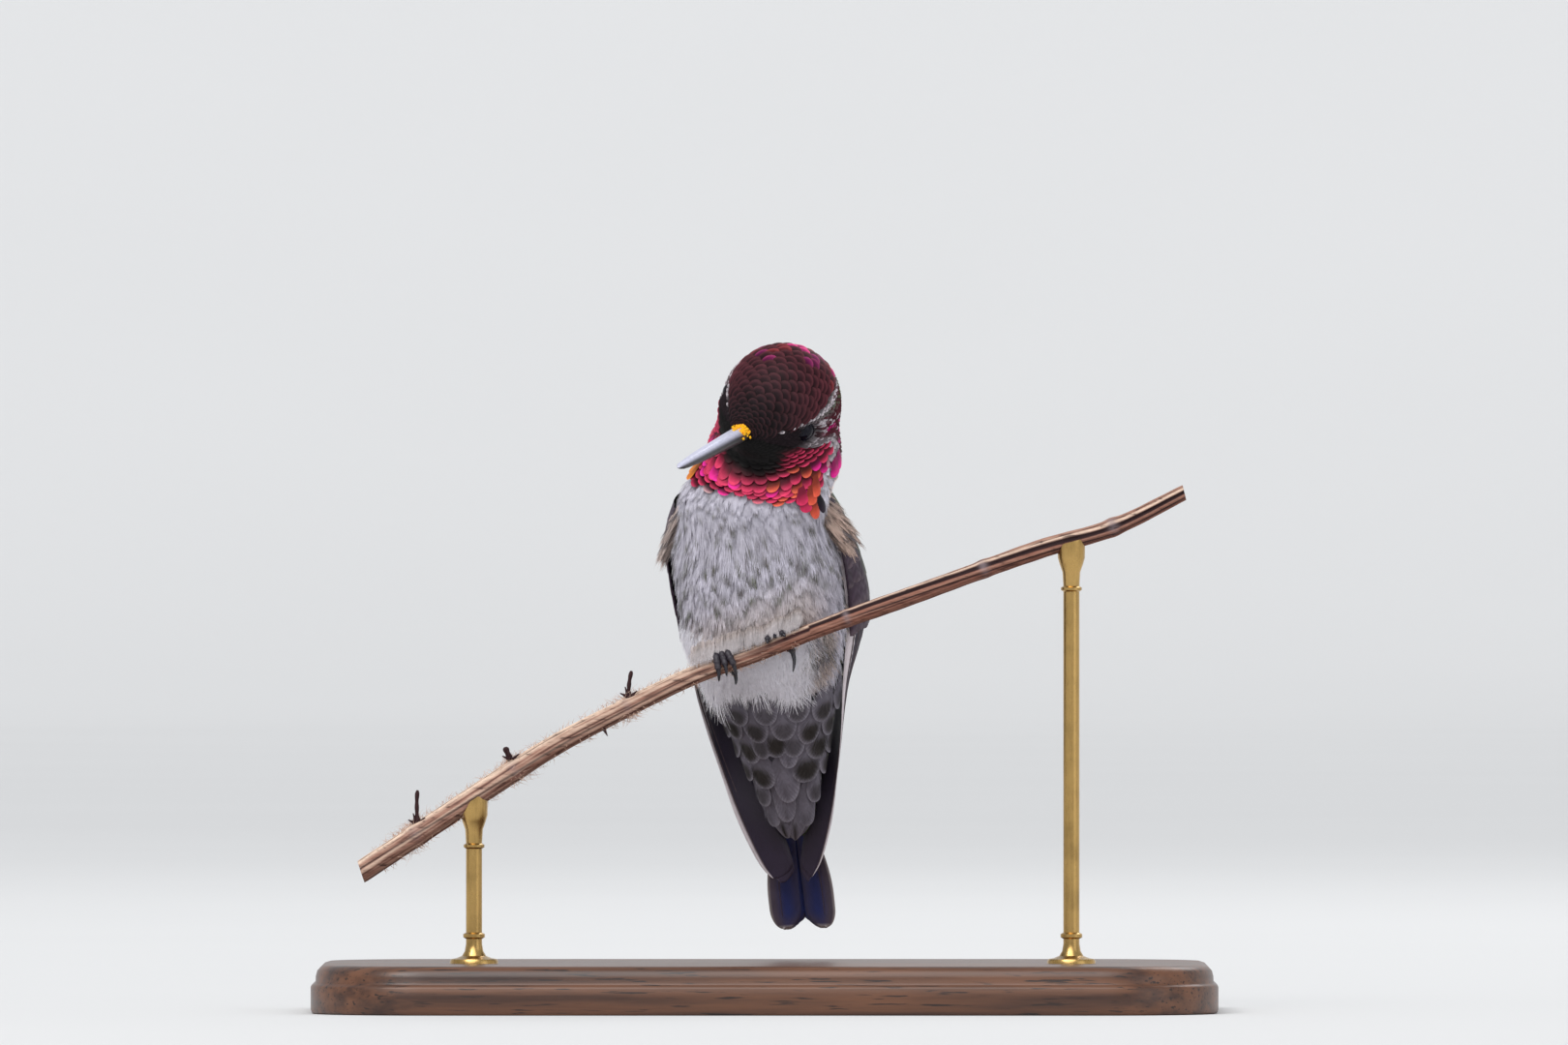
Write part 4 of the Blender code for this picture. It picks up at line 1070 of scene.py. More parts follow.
def face_coat(look):
    """Tiny scales of the lores, cheeks and ear, and the pale broken line over the eye."""
    def keep(share, around):
        side = underside(around)
        free = (on_crown(share, around) < 0.5) & (on_throat(share, around) < 0.5)
        return free & (side > 0.06) & (share < np.where(side > 0.56, 0.15, 0.29))

    def maroon(share, around):
        return (0.4 * smooth(0.42, 0.38, underside(around)) + 0.16) * smooth(0.1, 0.115, share)

    def white(share, around):
        return 0.16 * smooth(0.1, 0.12, share) * smooth(0.24, 0.3, underside(around))

    def bright(share, around):
        return 0.05 * smooth(0.12, 0.15, share) * smooth(0.24, 0.3, underside(around))

    def pitch(share):
        return np.interp(share, (0.02, 0.06, 0.12, 0.2, 0.3), (0.22, 0.3, 0.42, 0.62, 0.85))
    finish = feather_finish("face_scales", 70.0, 20.0, 0.2, 0.2, 0.62, Specular_IOR_Level=0.15)
    tint = scale_tint(0.25, lambda colour: np.minimum(colour * 1.4, 1.0),
                      ((maroon, toned(look.crown, 0.8)), (white, look.brow),
                       (bright, toned(look.magenta, 0.6))))
    head_coat("coat_face", (0.008, 0.3), 0.2, keep, pitch, (1.1, 2.4, 1.4), finish, "plumage_crown", tint, 21,
              0.05)


def throat_finish(name):
    """Finish of the throat's bright scales."""
    return feather_finish(name, 110.0, 38.0, 0.2, 0.15, 0.36, Metallic=0.3, Specular_IOR_Level=0.2)


def throat_coat(look):
    """Scales of the throat: painted black below the bill as shade where they catch no light, then rose with
    orange and magenta ones, largest at the rim."""
    def magenta(share, around):
        return 0.14 * smooth(0.0, 0.04, share - edge_of(THROAT_START, underside(around)))

    # Painted highlight: orange scales that catch the light, more of them in one patch
    def orange(share, around):
        near = patch(share, around, (0.25, 0.36), (0.09, 0.09))
        return (0.16 + 0.3 * near) * smooth(0.0, 0.04, share - edge_of(THROAT_START, underside(around)))

    def pitch(share):
        return look.throat_scale / MM * 0.42 * np.interp(share, (0.02, 0.06, 0.12, 0.2, 0.26),
                                                         (0.25, 0.4, 0.66, 0.92, 1.0))
    # Painted shade: deep 0.1 leaves the throat's scales dark but for their rims, as shadows between rows
    tint = scale_tint(0.7, lambda colour: np.minimum(colour * (1.25, 1.9, 1.4), 1.0),
                      ((orange, look.orange), (magenta, look.magenta)), 0.1, 0.62)
    head_coat("coat_throat", (0.008, 0.34), 0.48, lambda share, around: on_throat(share, around) > 0.5, pitch,
              (2.1, 2.8, 2.45), throat_finish("throat_scales"), "plumage_throat", tint, 31, 0.1, 9, 7)


ORANGE, ROSE, DUSK, MAGENTA, GOLD = range(5)
CORNERS = (     # share and round of each root, length, width, and colour
    (0.3, 0.318, 3.0, 1.3, DUSK), (0.296, 0.335, 3.4, 1.5, ORANGE), (0.282, 0.352, 2.8, 1.7, ROSE),
    (0.27, 0.335, 2.8, 1.7, ORANGE), (0.262, 0.36, 2.6, 1.7, ROSE), (0.256, 0.318, 2.6, 1.6, ORANGE),
    (0.255, 0.225, 2.4, 1.7, MAGENTA), (0.265, 0.24, 2.2, 1.6, MAGENTA), (0.258, 0.248, 2.5, 2.2, MAGENTA),
    (0.262, 0.64, 2.8, 1.6, GOLD), (0.255, 0.655, 2.6, 1.6, GOLD), (0.25, 0.672, 2.4, 1.5, GOLD),
)


def corner_tufts(look):
    """Longer scales at the corners of the throat's patch that hang over the breast, and the tuft behind the
    ear."""
    share, around, length, width, kind = np.array(CORNERS).T
    palette = np.array([look.orange, look.rose, toned(look.chin, 2.5, 2.0, 4.0), look.magenta,
                        toned(look.orange, 1.0, 2.2, 0.6)])
    colours = palette[kind.astype(int)]
    twist = np.random.default_rng(41).normal(0, 4, len(share))
    groups = plant(hull(), share, around, length, width, [scale_pattern(11, 7, 0.5, 0.08)], twist, 0.3,
                   root=-0.14)

    def tint(along, across, number):
        rim = smooth(0.6, 0.9, scale_edge(along, across)) * 0.4
        colour = blend(colours[number], np.minimum(colours[number] * 1.6, 1.0), rim)
        # Painted shade: darker towards the covered root
        return colour * (0.3 + 0.7 * smooth(0.3, 0.85, along))[..., None]
    feather_piece("coat_throat_corners", groups, share, around, tint, throat_finish("corner_scales"),
                  "plumage_throat", 42)


BREAST_LENGTH, BREAST_WIDTH = 3.7, 1.75
BREAST_PIECES = (       # name, range of shares and seed
    ("coat_breast_upper", 0.235, 0.385, 51), ("coat_breast_lower", 0.38, 0.49, 61),
    ("coat_belly", 0.485, 0.61, 71),
)


def spotted_tint(share, around, random, look):
    """Colours of the breast: pale fringes round dusky centres that vary from feather to feather and in waves,
    a product of sines of share and round, and fade out towards the twig."""
    base = markings(share, around)
    wave = np.sin(2 * np.pi * share / 0.03) * np.sin(2 * np.pi * around / 0.052)
    strong = np.clip(random.normal(0.2, 0.25, len(share)) + 1.7 * wave, 0, 1)
    strong = strong * (0.8 + 0.2 * smooth(0.3, 0.42, share)) * (1 - near_perch(share, around, 6.0, 2.0))
    green = random.uniform(-0.5, 1, len(share)) * smooth(0.3, 0.42, share)
    level = random.uniform(0.88, 1.08, len(share))

    def tint(along, across, number):
        spot = smooth(1.15, 0.5, np.hypot(across / 1.1, (along - 0.84) / 0.24))
        dusk = np.asarray(look.breast_spot) * (1 + green[number][..., None] * (-0.12, 0.06, -0.3))
        colour = blend(base[number], dusk, spot * strong[number])
        return colour * (level[number] * (0.92 + 0.1 * smooth(0.3, 0.9, along)))[..., None]
    return tint


def breast_coat(look):
    """Breast, belly and flanks: soft barbed feathers in three pieces."""
    finish = feather_finish("breast_barbs", 3.0, 0.0, 0.14, 0.1, 0.8, Sheen_Weight=0.15)
    for name, low, high, seed in BREAST_PIECES:
        share, around = tract(low, high, 0.47, lambda share: look.breast_pitch / MM + 0.0 * share, 1.25, seed,
                              0.8)
        chosen = (underside(around) > 0.36) & (on_throat(share + 0.022, around) < 0.5)
        share, around = share[chosen], around[chosen]
        random = np.random.default_rng(seed + 1)
        size = random.uniform(0.8, 1.2, len(share))
        size = size * (1 - 0.2 * on_throat(share - 0.02, around) * smooth(0.34, 0.3, share))
        groups = plant(hull(), share, around, BREAST_LENGTH * size, BREAST_WIDTH * size,
                       [barbed_pattern(seed + number, 28, 3, 1.1) for number in range(8)],
                       random.normal(0, 8, len(share)), random.uniform(0.0, 0.12, len(share)), seed=seed)
        seen = share + 0.85 * BREAST_LENGTH * size / hull().scale(share, around)[0]
        feather_piece(name, groups, share, around, spotted_tint(seen, around, random, look), finish,
                      "plumage_breast", seed)


def vent_coat(look):
    """White fluff under the belly, ragged where it ends over the tail coverts."""
    share, around = tract(0.53, 0.632, 0.5, lambda share: 0.62 + 0.0 * share, 1.0, 81)
    random = np.random.default_rng(82)
    end = (0.607 + 0.026 * bell(around, 0.64, 0.05) + 0.014 * bell(around, 0.42, 0.035)
           + 0.005 * np.sin(around * 90))
    chosen = ((around > 0.33) & (underside(around) > 0.52)
              & (share + random.uniform(0.0, 0.02, len(share)) < end))
    share, around = share[chosen], around[chosen]
    count = len(share)
    size = random.uniform(0.8, 1.25, count) * np.where(underside(around) > 0.62, 1.0, 0.8)
    fan = (around - 0.49) * 80 + random.normal(0, 9, count)
    size = size * (1 + 0.5 * smooth(0.585, 0.61, share) * random.random(count))
    lift = random.uniform(0.05, 0.5, count) + 0.3 * smooth(0.58, 0.595, share)
    groups = plant(hull(), share, around, 3.4 * size, 2.4 * size,
                   [down_pattern(90 + number) for number in range(6)],
                   fan, lift, root=0.6, seed=83)
    white = smooth(0.36, 0.4, around) * smooth(0.76, 0.68, around) * (0.86 + 0.14 * random.random(count))
    streaky = np.array([look.belly, look.breast_spot, look.shoulder, look.covert]) * 0.8
    base = blend(streaky[random.integers(0, 4, count)], look.vent, white)

    def tint(along, across, number):
        return np.minimum(base[number] * (0.98 + 0.1 * along)[..., None], 0.98)
    finish = feather_finish("vent_down", 2.0, 0.0, 0.06, 0.05, 0.85, Sheen_Weight=0.3)
    feather_piece("coat_vent", groups, share, around, tint, finish, "plumage_breast", 84)


COMB_BUNDLES, COMB_STRANDS, COMB_STEPS = 230, 16, 5


def comb_coat(look):
    """Wisps at the bottom of the belly that hang over the twig's upper edge, each a bundle of fine strands. A
    strand runs from the belly to the twig along a line that bows forward by 4 s (1 - s)."""
    random = np.random.default_rng(86)
    count = COMB_BUNDLES * COMB_STRANDS

    def bundled(values):
        return np.repeat(values, COMB_STRANDS)
    middle = bundled(random.uniform(-9.0, 4.4, COMB_BUNDLES))
    reach = bundled(random.uniform(0.55, 1.7, COMB_BUNDLES))
    x = middle + random.normal(0, 0.16, count)
    tip_x = x + random.normal(0, 0.14, count) + bundled(random.normal(0, 0.12, COMB_BUNDLES))
    tip = perch_middle(tip_x) + np.stack([0 * x, -perch_radius(tip_x) - 0.24 + 0.3 * (reach - 0.55),
                                          reach + random.uniform(0, 0.6, count)], axis=-1)
    root = perch_middle(x) + np.stack([0 * x, 1.3 - 0.12 * np.abs(x + 1), reach + 1.3 + random.random(count)],
                                      axis=-1)
    s = np.linspace(0, 1, COMB_STEPS)[:, None]
    path = root[:, None] * (1 - s) + tip[:, None] * s + np.array([0.0, -0.45, 0.4]) * (4 * s * (1 - s))
    points, faces = strips(path, np.array([1.0, 0.0, 0.38]) * 0.032 * (1.1 - s)[None])
    along = np.tile(np.repeat(s[:, 0], 2), count)
    level = bundled(random.uniform(0.55, 0.95, COMB_BUNDLES)) * random.uniform(0.8, 1.1, count)
    level = np.repeat(level, 2 * COMB_STEPS)
    values = {"along": along, "across": 0 * along, "tone": level,
              "tint": blend(look.belly, look.vent, 0.5 * smooth(0.4, 1.0, along)) * level[:, None]}
    unwrap = np.stack([0.5 + 0.001 * along, 0.6 + 0.00001 * np.repeat(np.arange(count), 2 * COMB_STEPS)],
                      axis=-1)
    finish = feather_finish("comb_barbs", 2.0, 0.0, 0.08, 0.05, 0.85, Sheen_Weight=0.2)
    piece("coat_comb", points.reshape(-1, 3), faces, finish, "plumage_breast", values=values, unwrap=unwrap)


COVERTS = (     # share and round of each dark oval, and its length, width and strength, from the end up
    (0.925, 0.44, 14.0, 5.4, 0.3), (0.915, 0.56, 14.0, 5.2, 0.35), (0.885, 0.35, 11.0, 4.6, 0.1),
    (0.88, 0.65, 11.0, 4.6, 0.1), (0.85, 0.5, 11.0, 4.4, 0.1), (0.82, 0.65, 6.0, 4.0, 0.6),
    (0.82, 0.3, 6.0, 4.0, 0.6), (0.8, 0.47, 9.0, 4.6, 0.1), (0.775, 0.596, 7.4, 5.4, 1.0),
    (0.766, 0.367, 7.8, 6.2, 1.0), (0.77, 0.69, 6.0, 4.2, 0.9), (0.77, 0.25, 6.0, 4.2, 0.9),
    (0.735, 0.44, 7.0, 3.6, 0.1), (0.731, 0.317, 6.4, 4.8, 1.0), (0.728, 0.617, 6.6, 4.8, 1.0),
    (0.715, 0.4875, 6.4, 4.6, 1.0), (0.73, 0.71, 6.0, 4.2, 0.9), (0.735, 0.24, 6.0, 4.2, 0.9),
    (0.72, 0.415, 5.6, 3.8, 0.6), (0.72, 0.55, 5.6, 3.6, 0.7), (0.7, 0.3625, 5.8, 4.2, 1.0),
    (0.69, 0.546, 5.8, 4.2, 0.9), (0.69, 0.6375, 5.6, 4.2, 1.0), (0.7, 0.28, 5.6, 4.0, 0.9),
    (0.695, 0.7, 5.6, 4.0, 0.9), (0.688, 0.45, 5.4, 4.0, 0.6), (0.669, 0.329, 5.4, 4.0, 0.9),
    (0.66, 0.404, 5.2, 3.8, 0.6), (0.66, 0.5, 5.2, 3.8, 0.5), (0.663, 0.59, 5.2, 3.8, 0.8),
    (0.668, 0.67, 5.2, 3.8, 0.8), (0.665, 0.26, 5.2, 3.8, 0.6),
)
STREAKED = 0.4          # coverts whose oval is weaker than this have a streak on the shaft in its place


def covert_coat(look):
    """Feathers under the tail's root: solid grey vanes with a dark oval or a shaft streak, and a loose fringe
    of barbs. Each root lies 0.72 of a length above the oval's middle, found in a few rounds because the
    hull's scale changes on the way."""
    random = np.random.default_rng(91)
    middle, around, length, width, spot = np.array(COVERTS).T
    share = middle
    for _ in range(4):
        share = middle - 0.72 * length / hull().scale(share, around)[0]
    order = np.arange(len(share)) / len(share)
    lift = 0.02 + 0.35 * order
    depth = 0.6 - 0.3 * order + 0.03 * np.maximum(length - 9, 0)
    vanes = plant(hull(), share, around, length, width, [scale_pattern(20, 15, 0.45, 0.06)],
                  random.normal(0, 2, len(share)), lift, root=depth, seed=92)
    fringe = plant(hull(), share, around, length * 1.04, width * 1.06,
                   [barbed_pattern(93 + number, 110, 5, 0.5) for number in range(2)],
                   random.normal(0, 2, len(share)), lift + 0.04, root=depth - 0.05, seed=92)
    level = random.uniform(0.92, 1.06, len(share))

    def tint(along, across, number):
        oval = smooth(1.25, 0.55, np.hypot(across / 0.75, (along - 0.72) / 0.27))
        streak = 3 * bell(across, 0, 0.2) * smooth(0.4, 0.75, along) * smooth(1.0, 0.95, along)
        dark = np.where(spot[number] < STREAKED, streak, oval) * spot[number]
        rim = smooth(0.72, 1.0, scale_edge(along, across)) * 0.1
        blue = smooth(0.78, 0.88, share[number]) * smooth(0.6, 1.0, along)
        colour = blend(look.covert, toned(look.covert, 0.62, 0.7, 0.92), blue)
        colour = blend(colour, look.covert_spot, np.clip(dark, 0, 1))
        colour = blend(colour, toned(look.vent, 0.7), rim * (1 - dark))
        return colour * (level[number] * (0.7 + 0.3 * smooth(0.1, 0.6, along)))[..., None]
    finish = feather_finish("covert_vanes", 60.0, 22.0, 0.16, 0.2, 0.7)
    feather_piece("coat_coverts", vanes, share, around, tint, finish, "plumage_covert", 94)
    finish = feather_finish("covert_barbs", 3.0, 0.0, 0.1, 0.1, 0.8)
    feather_piece("coat_coverts_fringe", fringe, share, around, tint, finish, "plumage_covert", 94)


def back_coat(look):
    """Bronze-green scales of the nape, back and rump."""
    def pitch(share):
        return 1.25 + 0.5 * smooth(0.45, 0.8, share)
    share, around = tract(0.1, 0.985, 0.0, pitch, 1.1, 101)
    side = underside(around)
    chosen = (side < 0.5 - 0.1 * smooth(0.7, 0.8, share)) & (on_crown(share + 0.015, around) < 0.5)
    chosen = chosen & ((side < 0.09) | (share > 0.25))
    share, around = share[chosen], around[chosen]
    random = np.random.default_rng(102)
    long = 2.2 * pitch(share)
    groups = plant(hull(), share, around, long, long * 0.72, [scale_pattern(8, 5, 0.4, 0.14)],
                   random.normal(0, 5, len(share)), random.uniform(0.02, 0.12, len(share)), seed=103)
    tint = scale_tint(0.5, lambda colour: colour * (1.5, 1.15, 0.8))(share, around, random)
    finish = feather_finish("back_scales", 100.0, 34.0, 0.2, 0.15, 0.42, Metallic=0.25,
                            Specular_IOR_Level=0.25)
    feather_piece("coat_back", groups, share, around, tint, finish, "plumage_covert", 104)


# ---------------------------------------------------------------- wings and tail

# Rows down the wing: distance towards the tail, then the leading edge, the outward corner and the trailing
# edge, each sideways and towards the back
WING_ROWS = (
    (-10.4, (8.6, -0.8), (11.0, 4.2), (5.2, 7.8)),
    (-5.5, (10.5, -0.8), (13.0, 5.0), (4.6, 9.8)),
    (1.0, (10.9, 0.0), (14.3, 6.2), (3.2, 10.8)),
    (8.0, (10.5, 0.8), (14.0, 6.4), (2.8, 10.0)),
    (15.0, (9.8, 1.5), (11.2, 5.8), (3.4, 8.2)),
    (21.5, (8.9, 1.8), (8.9, 4.6), (4.0, 6.2)),
    (28.0, (7.6, 2.0), (6.9, 3.4), (3.5, 3.9)),
    (33.5, (6.2, 1.9), (5.0, 2.2), (1.9, 2.5)),
    (39.0, (4.2, 1.6), (3.3, 1.6), (0.55, 1.8)),
    (42.2, (2.2, 1.2), (1.9, 1.2), (0.5, 1.4)),
)
TUFT_ROWS = (       # like the wing's rows, a little further out and forward
    (-14.5, (6.4, -2.6), (9.6, 0.6), (6.0, 6.0)),
    (-10.5, (9.2, -3.0), (12.6, 2.2), (6.0, 8.8)),
    (-6.5, (11.2, -2.6), (14.8, 3.4), (6.0, 10.8)),
    (-3.0, (12.7, -2.0), (16.6, 4.2), (6.0, 11.8)),
    (1.0, (13.5, -1.6), (18.0, 4.6), (6.0, 12.2)),
)
WING_SWING, WING_FLARE = -0.9, 1.1
TAIL_DORSAL, TAIL_START, TAIL_END, TAIL_SWING = 4.1, 16.0, 50.0, -0.6
TAIL_HALF_WIDTHS = (1.6, 1.9, 2.4, 3.3, 4.2, 4.2)


def outward(grid, reference):
    """Directions square to a grid of points, on the side away from the reference points."""
    square = unit(np.cross(np.gradient(grid, axis=0), np.gradient(grid, axis=1)))
    return square * np.sign(((grid - reference) * square).sum())


def folded_rows(rows, down, across):
    """Distances towards the tail, and places across as a (down, across, 2) array, of rows that follow smooth
    curves down the wing. Each is a quadratic curve from the leading edge past the corner to the trailing
    edge."""
    share = np.linspace(0, 1, down)
    tailward, lead, corner, trail = (curve(column, share) for column in zip(*rows))
    t = np.linspace(0, 1, across)[:, None]
    return tailward, ((1 - t) ** 2 * lead[:, None] + 2 * t * (1 - t) * corner[:, None]
                      + t ** 2 * trail[:, None])


@functools.lru_cache(maxsize=None)
def wing_surface(sign):
    """Middle of a folded wing: its rows flare out round the belly and swing in towards the tail."""
    tailward, flat = folded_rows(WING_ROWS, 121, 33)
    t = np.linspace(0, 1, 33)
    flare = WING_FLARE * smooth(-8.0, 6.0, tailward) * smooth(20.0, 8.0, tailward)
    bulged = np.sin(np.pi * t) * flare[:, None]
    swung = WING_SWING * (1 - 0.9 * t) * smooth(4.0, 18.0, tailward)[:, None]
    sideways = sign * flat[..., 0] + bulged + swung
    grid = BREAST + sideways[..., None] * LEFT + flat[..., 1:] * BACK + tailward[:, None, None] * TAILWARD
    return Surface(grid, outward(grid, BREAST - 3.0 * BACK + tailward[:, None, None] * TAILWARD))


@functools.lru_cache(maxsize=None)
def tail_surface():
    """Middle of the closed tail: its rows widen from the root to the end, and its sides droop a little.
    Outward is towards the back."""
    down = np.linspace(0, 1, 61)
    across = np.linspace(-1, 1, 33)
    tailward = (TAIL_START + (TAIL_END - TAIL_START) * down)[:, None, None]
    sideways = across * curve(TAIL_HALF_WIDTHS, down)[:, None]
    sideways = sideways[..., None] + TAIL_SWING * smooth(TAIL_START, TAIL_END, tailward)
    back = TAIL_DORSAL - 0.5 * across[:, None] ** 2 * down[:, None, None]
    grid = on_body(sideways, back, tailward)
    return Surface(grid, outward(grid, grid - BACK))


BLADE_ROWS, ROUND_ROWS, BLADE_COLUMNS = 64, 16, 11
SHAFT_SIDES = 7
ON_SHAFT = 9.0          # across of the points on a shaft, which lies outside -1 to 1 of the vanes


def blade_steps(blunt):
    """Places along a long feather, root 0 to tip 1, closer together over the last share, where its end is
    round."""
    return np.concatenate([np.linspace(0, 1 - blunt, BLADE_ROWS - ROUND_ROWS),
                           1 - blunt * np.cos(np.linspace(0.1, 1.54, ROUND_ROWS))])


def blade(surface, s, root, tip, lead, trail, layer, shaft, blunt, thick=0.09):
    """One long feather as a closed shell, with its shaft as a bar on its middle line. lead and trail are its
    edges at each step s, and past 1 - blunt they close in by sqrt(1 - x ** 2). The vane's height is layer,
    with a rise of 0.05 at the shaft. Returns both shells, and along and across of their points."""
    x = np.clip((s - 1 + blunt) / blunt, 0, 1)
    close = np.sqrt(np.clip(1 - x ** 2, 0.0, 1))[:, None]
    down = (root + (tip - root) * s)[:, None]
    first, last = lead[:, None], trail[:, None]
    middle = first + (last - first) * (0.5 + 0.5 * shaft)
    c = np.linspace(-1, 1, BLADE_COLUMNS)[None, :]
    edge = first + (last - first) * (c + 1) / 2
    across = middle + (edge - middle) * close
    height = layer[:, None] + 0.05 * bell(c, shaft, 0.12)
    slim = thick * (1 - 0.6 * np.abs(c) ** 3) * (0.25 + 0.75 * close)
    above = surface.at(down, across, height + slim / 2)
    below = surface.at(down, across, height - slim / 2)
    on_bar = slice(None, -6, 2)
    bar = surface.at(down[on_bar, 0], middle[on_bar, 0], layer[on_bar])
    shells = [shell(np.concatenate([above, below[:, ::-1]], axis=1)),
              shell(tube(bar, 0.16 * (1 - s[on_bar]) + 0.045, SHAFT_SIDES))]
    wide = np.tile(np.concatenate([c[0], c[0, ::-1]]), len(s))
    along = np.concatenate([np.repeat(s, 2 * BLADE_COLUMNS), [0, 1], np.repeat(s[on_bar], SHAFT_SIDES),
                            [0, 1]])
    return shells, along, np.concatenate([wide, [0, 0], np.full(along.size - wide.size - 2, ON_SHAFT)])


def blades_piece(name, blades, tint, finish, slot, node):
    """Several long feathers as one piece. tint(along, across, number) gives each point's colour."""
    points, faces = joined([part for shells, _, _ in blades for part in shells])
    along = np.concatenate([places for _, places, _ in blades])
    across = np.concatenate([places for _, _, places in blades])
    number = np.repeat(np.arange(len(blades)), [len(places) for _, places, _ in blades])
    values = {"along": along, "across": across, "tone": number * 0.13, "tint": tint(along, across, number)}
    piece(name, points, faces, finish, slot, node, values=values)


def vane_finish(name, roughness, **constants):
    """Finish of a flight feather: its colours at each point, close barb lines that run out and forward, and
    faint bars across."""
    finish = Finish(name, **constants)
    line = (finish.attribute("along") * 420.0 - finish.attribute("across").size() * 55.0).sine() * 0.5 + 0.5
    cloud = finish.noise(0.55, 4.0)
    fine = finish.noise(5.0, 3.0, (1.0, 1.0, 0.2))
    finish.feed("Base Color", finish.shaded((1.0 - line * 0.12) * (cloud * 0.5 + 0.55) + fine * 0.22))
    finish.feed("Roughness", line * 0.1 + cloud * 0.15 + roughness)
    finish.relief(line * 0.5 + fine, 0.18)
    return finish


SECONDARIES = 6
PRIMARIES = (       # how far down each primary's tip lies, and how far back its leading edge runs
    (0.975, 0.0), (0.999, 0.3), (0.985, 0.45), (0.95, 0.52), (0.91, 0.58), (0.87, 0.62), (0.83, 0.66),
    (0.79, 0.7), (0.75, 0.73), (0.71, 0.76),
)


def wing_blades(side, sign, look):
    """The folded wing's long feathers: ten primaries from the leading edge inwards, each a layer further out
    and a step shorter, then six secondaries. Each one's leading edge starts a step further in and runs on to
    the trailing edge, where its tip comes out."""
    rows = [(0.02, tip, 0.06 * k, 0.5, reach) for k, (tip, reach) in enumerate(PRIMARIES)]
    rows += [(0.05, 0.65 - 0.045 * k, 0.5 + 0.04 * k, 0.42, 0.78) for k in range(SECONDARIES)]
    blades = []
    for k, (root, tip, start, wide, reach) in enumerate(rows):
        blunt = 0.075 if k < 3 else 0.1
        s = blade_steps(blunt)
        lead = start + (reach - start) * smooth(0.1, 1.1, s) ** 1.2
        trail = np.minimum(start + wide + (1.02 - start - wide) * smooth(0.3, 1.0, s), 0.998)
        layer = -0.36 + 0.042 * k + 0.04 * s
        blades.append(blade(wing_surface(sign), s, root, tip, lead, trail, layer, -0.62 if k < 2 else -0.4,
                            blunt))

    def tint(along, across, number):
        vane = across < ON_SHAFT
        base = np.asarray(look.vane) * (0.85 + 0.3 * np.abs(np.sin(number * 2.1)))[..., None]
        base = blend(base, toned(look.vane, 0.6), smooth(-0.2, 0.9, across) * vane * 0.7)
        base = blend(base, toned(look.vane, 1.7), smooth(0.75, 1.0, along) * 0.35)
        limit = 0.42 * smooth(0.64, 0.48, along)
        pale = np.where(number == 0, smooth(-0.74, -0.82, across - limit),
                        0.15 * smooth(-0.88, -0.97, across))
        return blend(blend(base, look.edge, pale * vane), look.shaft, 1.0 - vane)
    finish = vane_finish(f"wing_vanes_{side}", 0.42, Sheen_Weight=0.05)
    blades_piece(f"wing_feathers_{side}", blades, tint, finish, "flight_feather", f"wing_{side}")


COVERT_ROWS = (     # distance between feathers in a row, and their size, from the shoulder down
    (0.075, 1.9), (0.08, 2.2), (0.085, 2.6), (0.09, 3.0), (0.095, 3.6), (0.1, 4.4), (0.105, 5.4),
)


def wing_coverts(side, sign, look, body):
    """Small feathers over the wing's outside in rows that overlap like tiles: dusky by the leading edge and
    bronze green towards the back."""
    random = np.random.default_rng(120 + (sign > 0))
    rows = [0.03 + 0.02 * (n % 2) + step * np.arange(int(0.95 / step))
            for n, (step, _) in enumerate(COVERT_ROWS)]
    counts = [len(row) for row in rows]
    share = np.repeat(0.012 + 0.034 * np.arange(len(rows)), counts)
    size = np.repeat([size for _, size in COVERT_ROWS], counts)
    share = share + random.uniform(-0.004, 0.004, len(share))
    around = np.concatenate(rows) + random.uniform(-0.012, 0.012, len(share))
    groups = plant(wing_surface(sign), share, around, size * 1.5, size * 0.8,
                   [scale_pattern(10, 7, 0.4, 0.08)],
                   random.normal(0, 5, len(share)), 0.42 + random.uniform(0, 0.06, len(share)), root=-0.34,
                   seed=121)
    level = random.uniform(0.8, 1.2, len(share))

    def tint(along, across, number):
        dusky = np.maximum(smooth(0.1, 0.24, share[number]), smooth(0.45, 0.25, around[number]))
        colour = blend(body.nape, toned(look.vane, 2.0, 1.5, 1.3), dusky)
        colour = blend(colour, toned(body.shoulder, 0.7), 0.12 * smooth(0.84, 0.98, along))
        return colour * (level[number] * (0.6 + 0.4 * along))[..., None]
    finish = feather_finish(f"wing_covert_scales_{side}", 30.0, 10.0, 0.2, 0.25, 0.42, Metallic=0.15)
    feather_piece(f"coat_wing_coverts_{side}", groups, share, around, tint, finish, "flight_feather", 122)


TUFTS = 300
TUFT_PLACES = {     # tailward and inward shift of the sheet, place round the body on the colour map, and tone
    "left": (0.7, 0.0, 0.25, (1.0, 0.9, 0.82)),
    "right": (0.9, 0.5, 0.75, (1.0, 1.0, 1.0)),
}


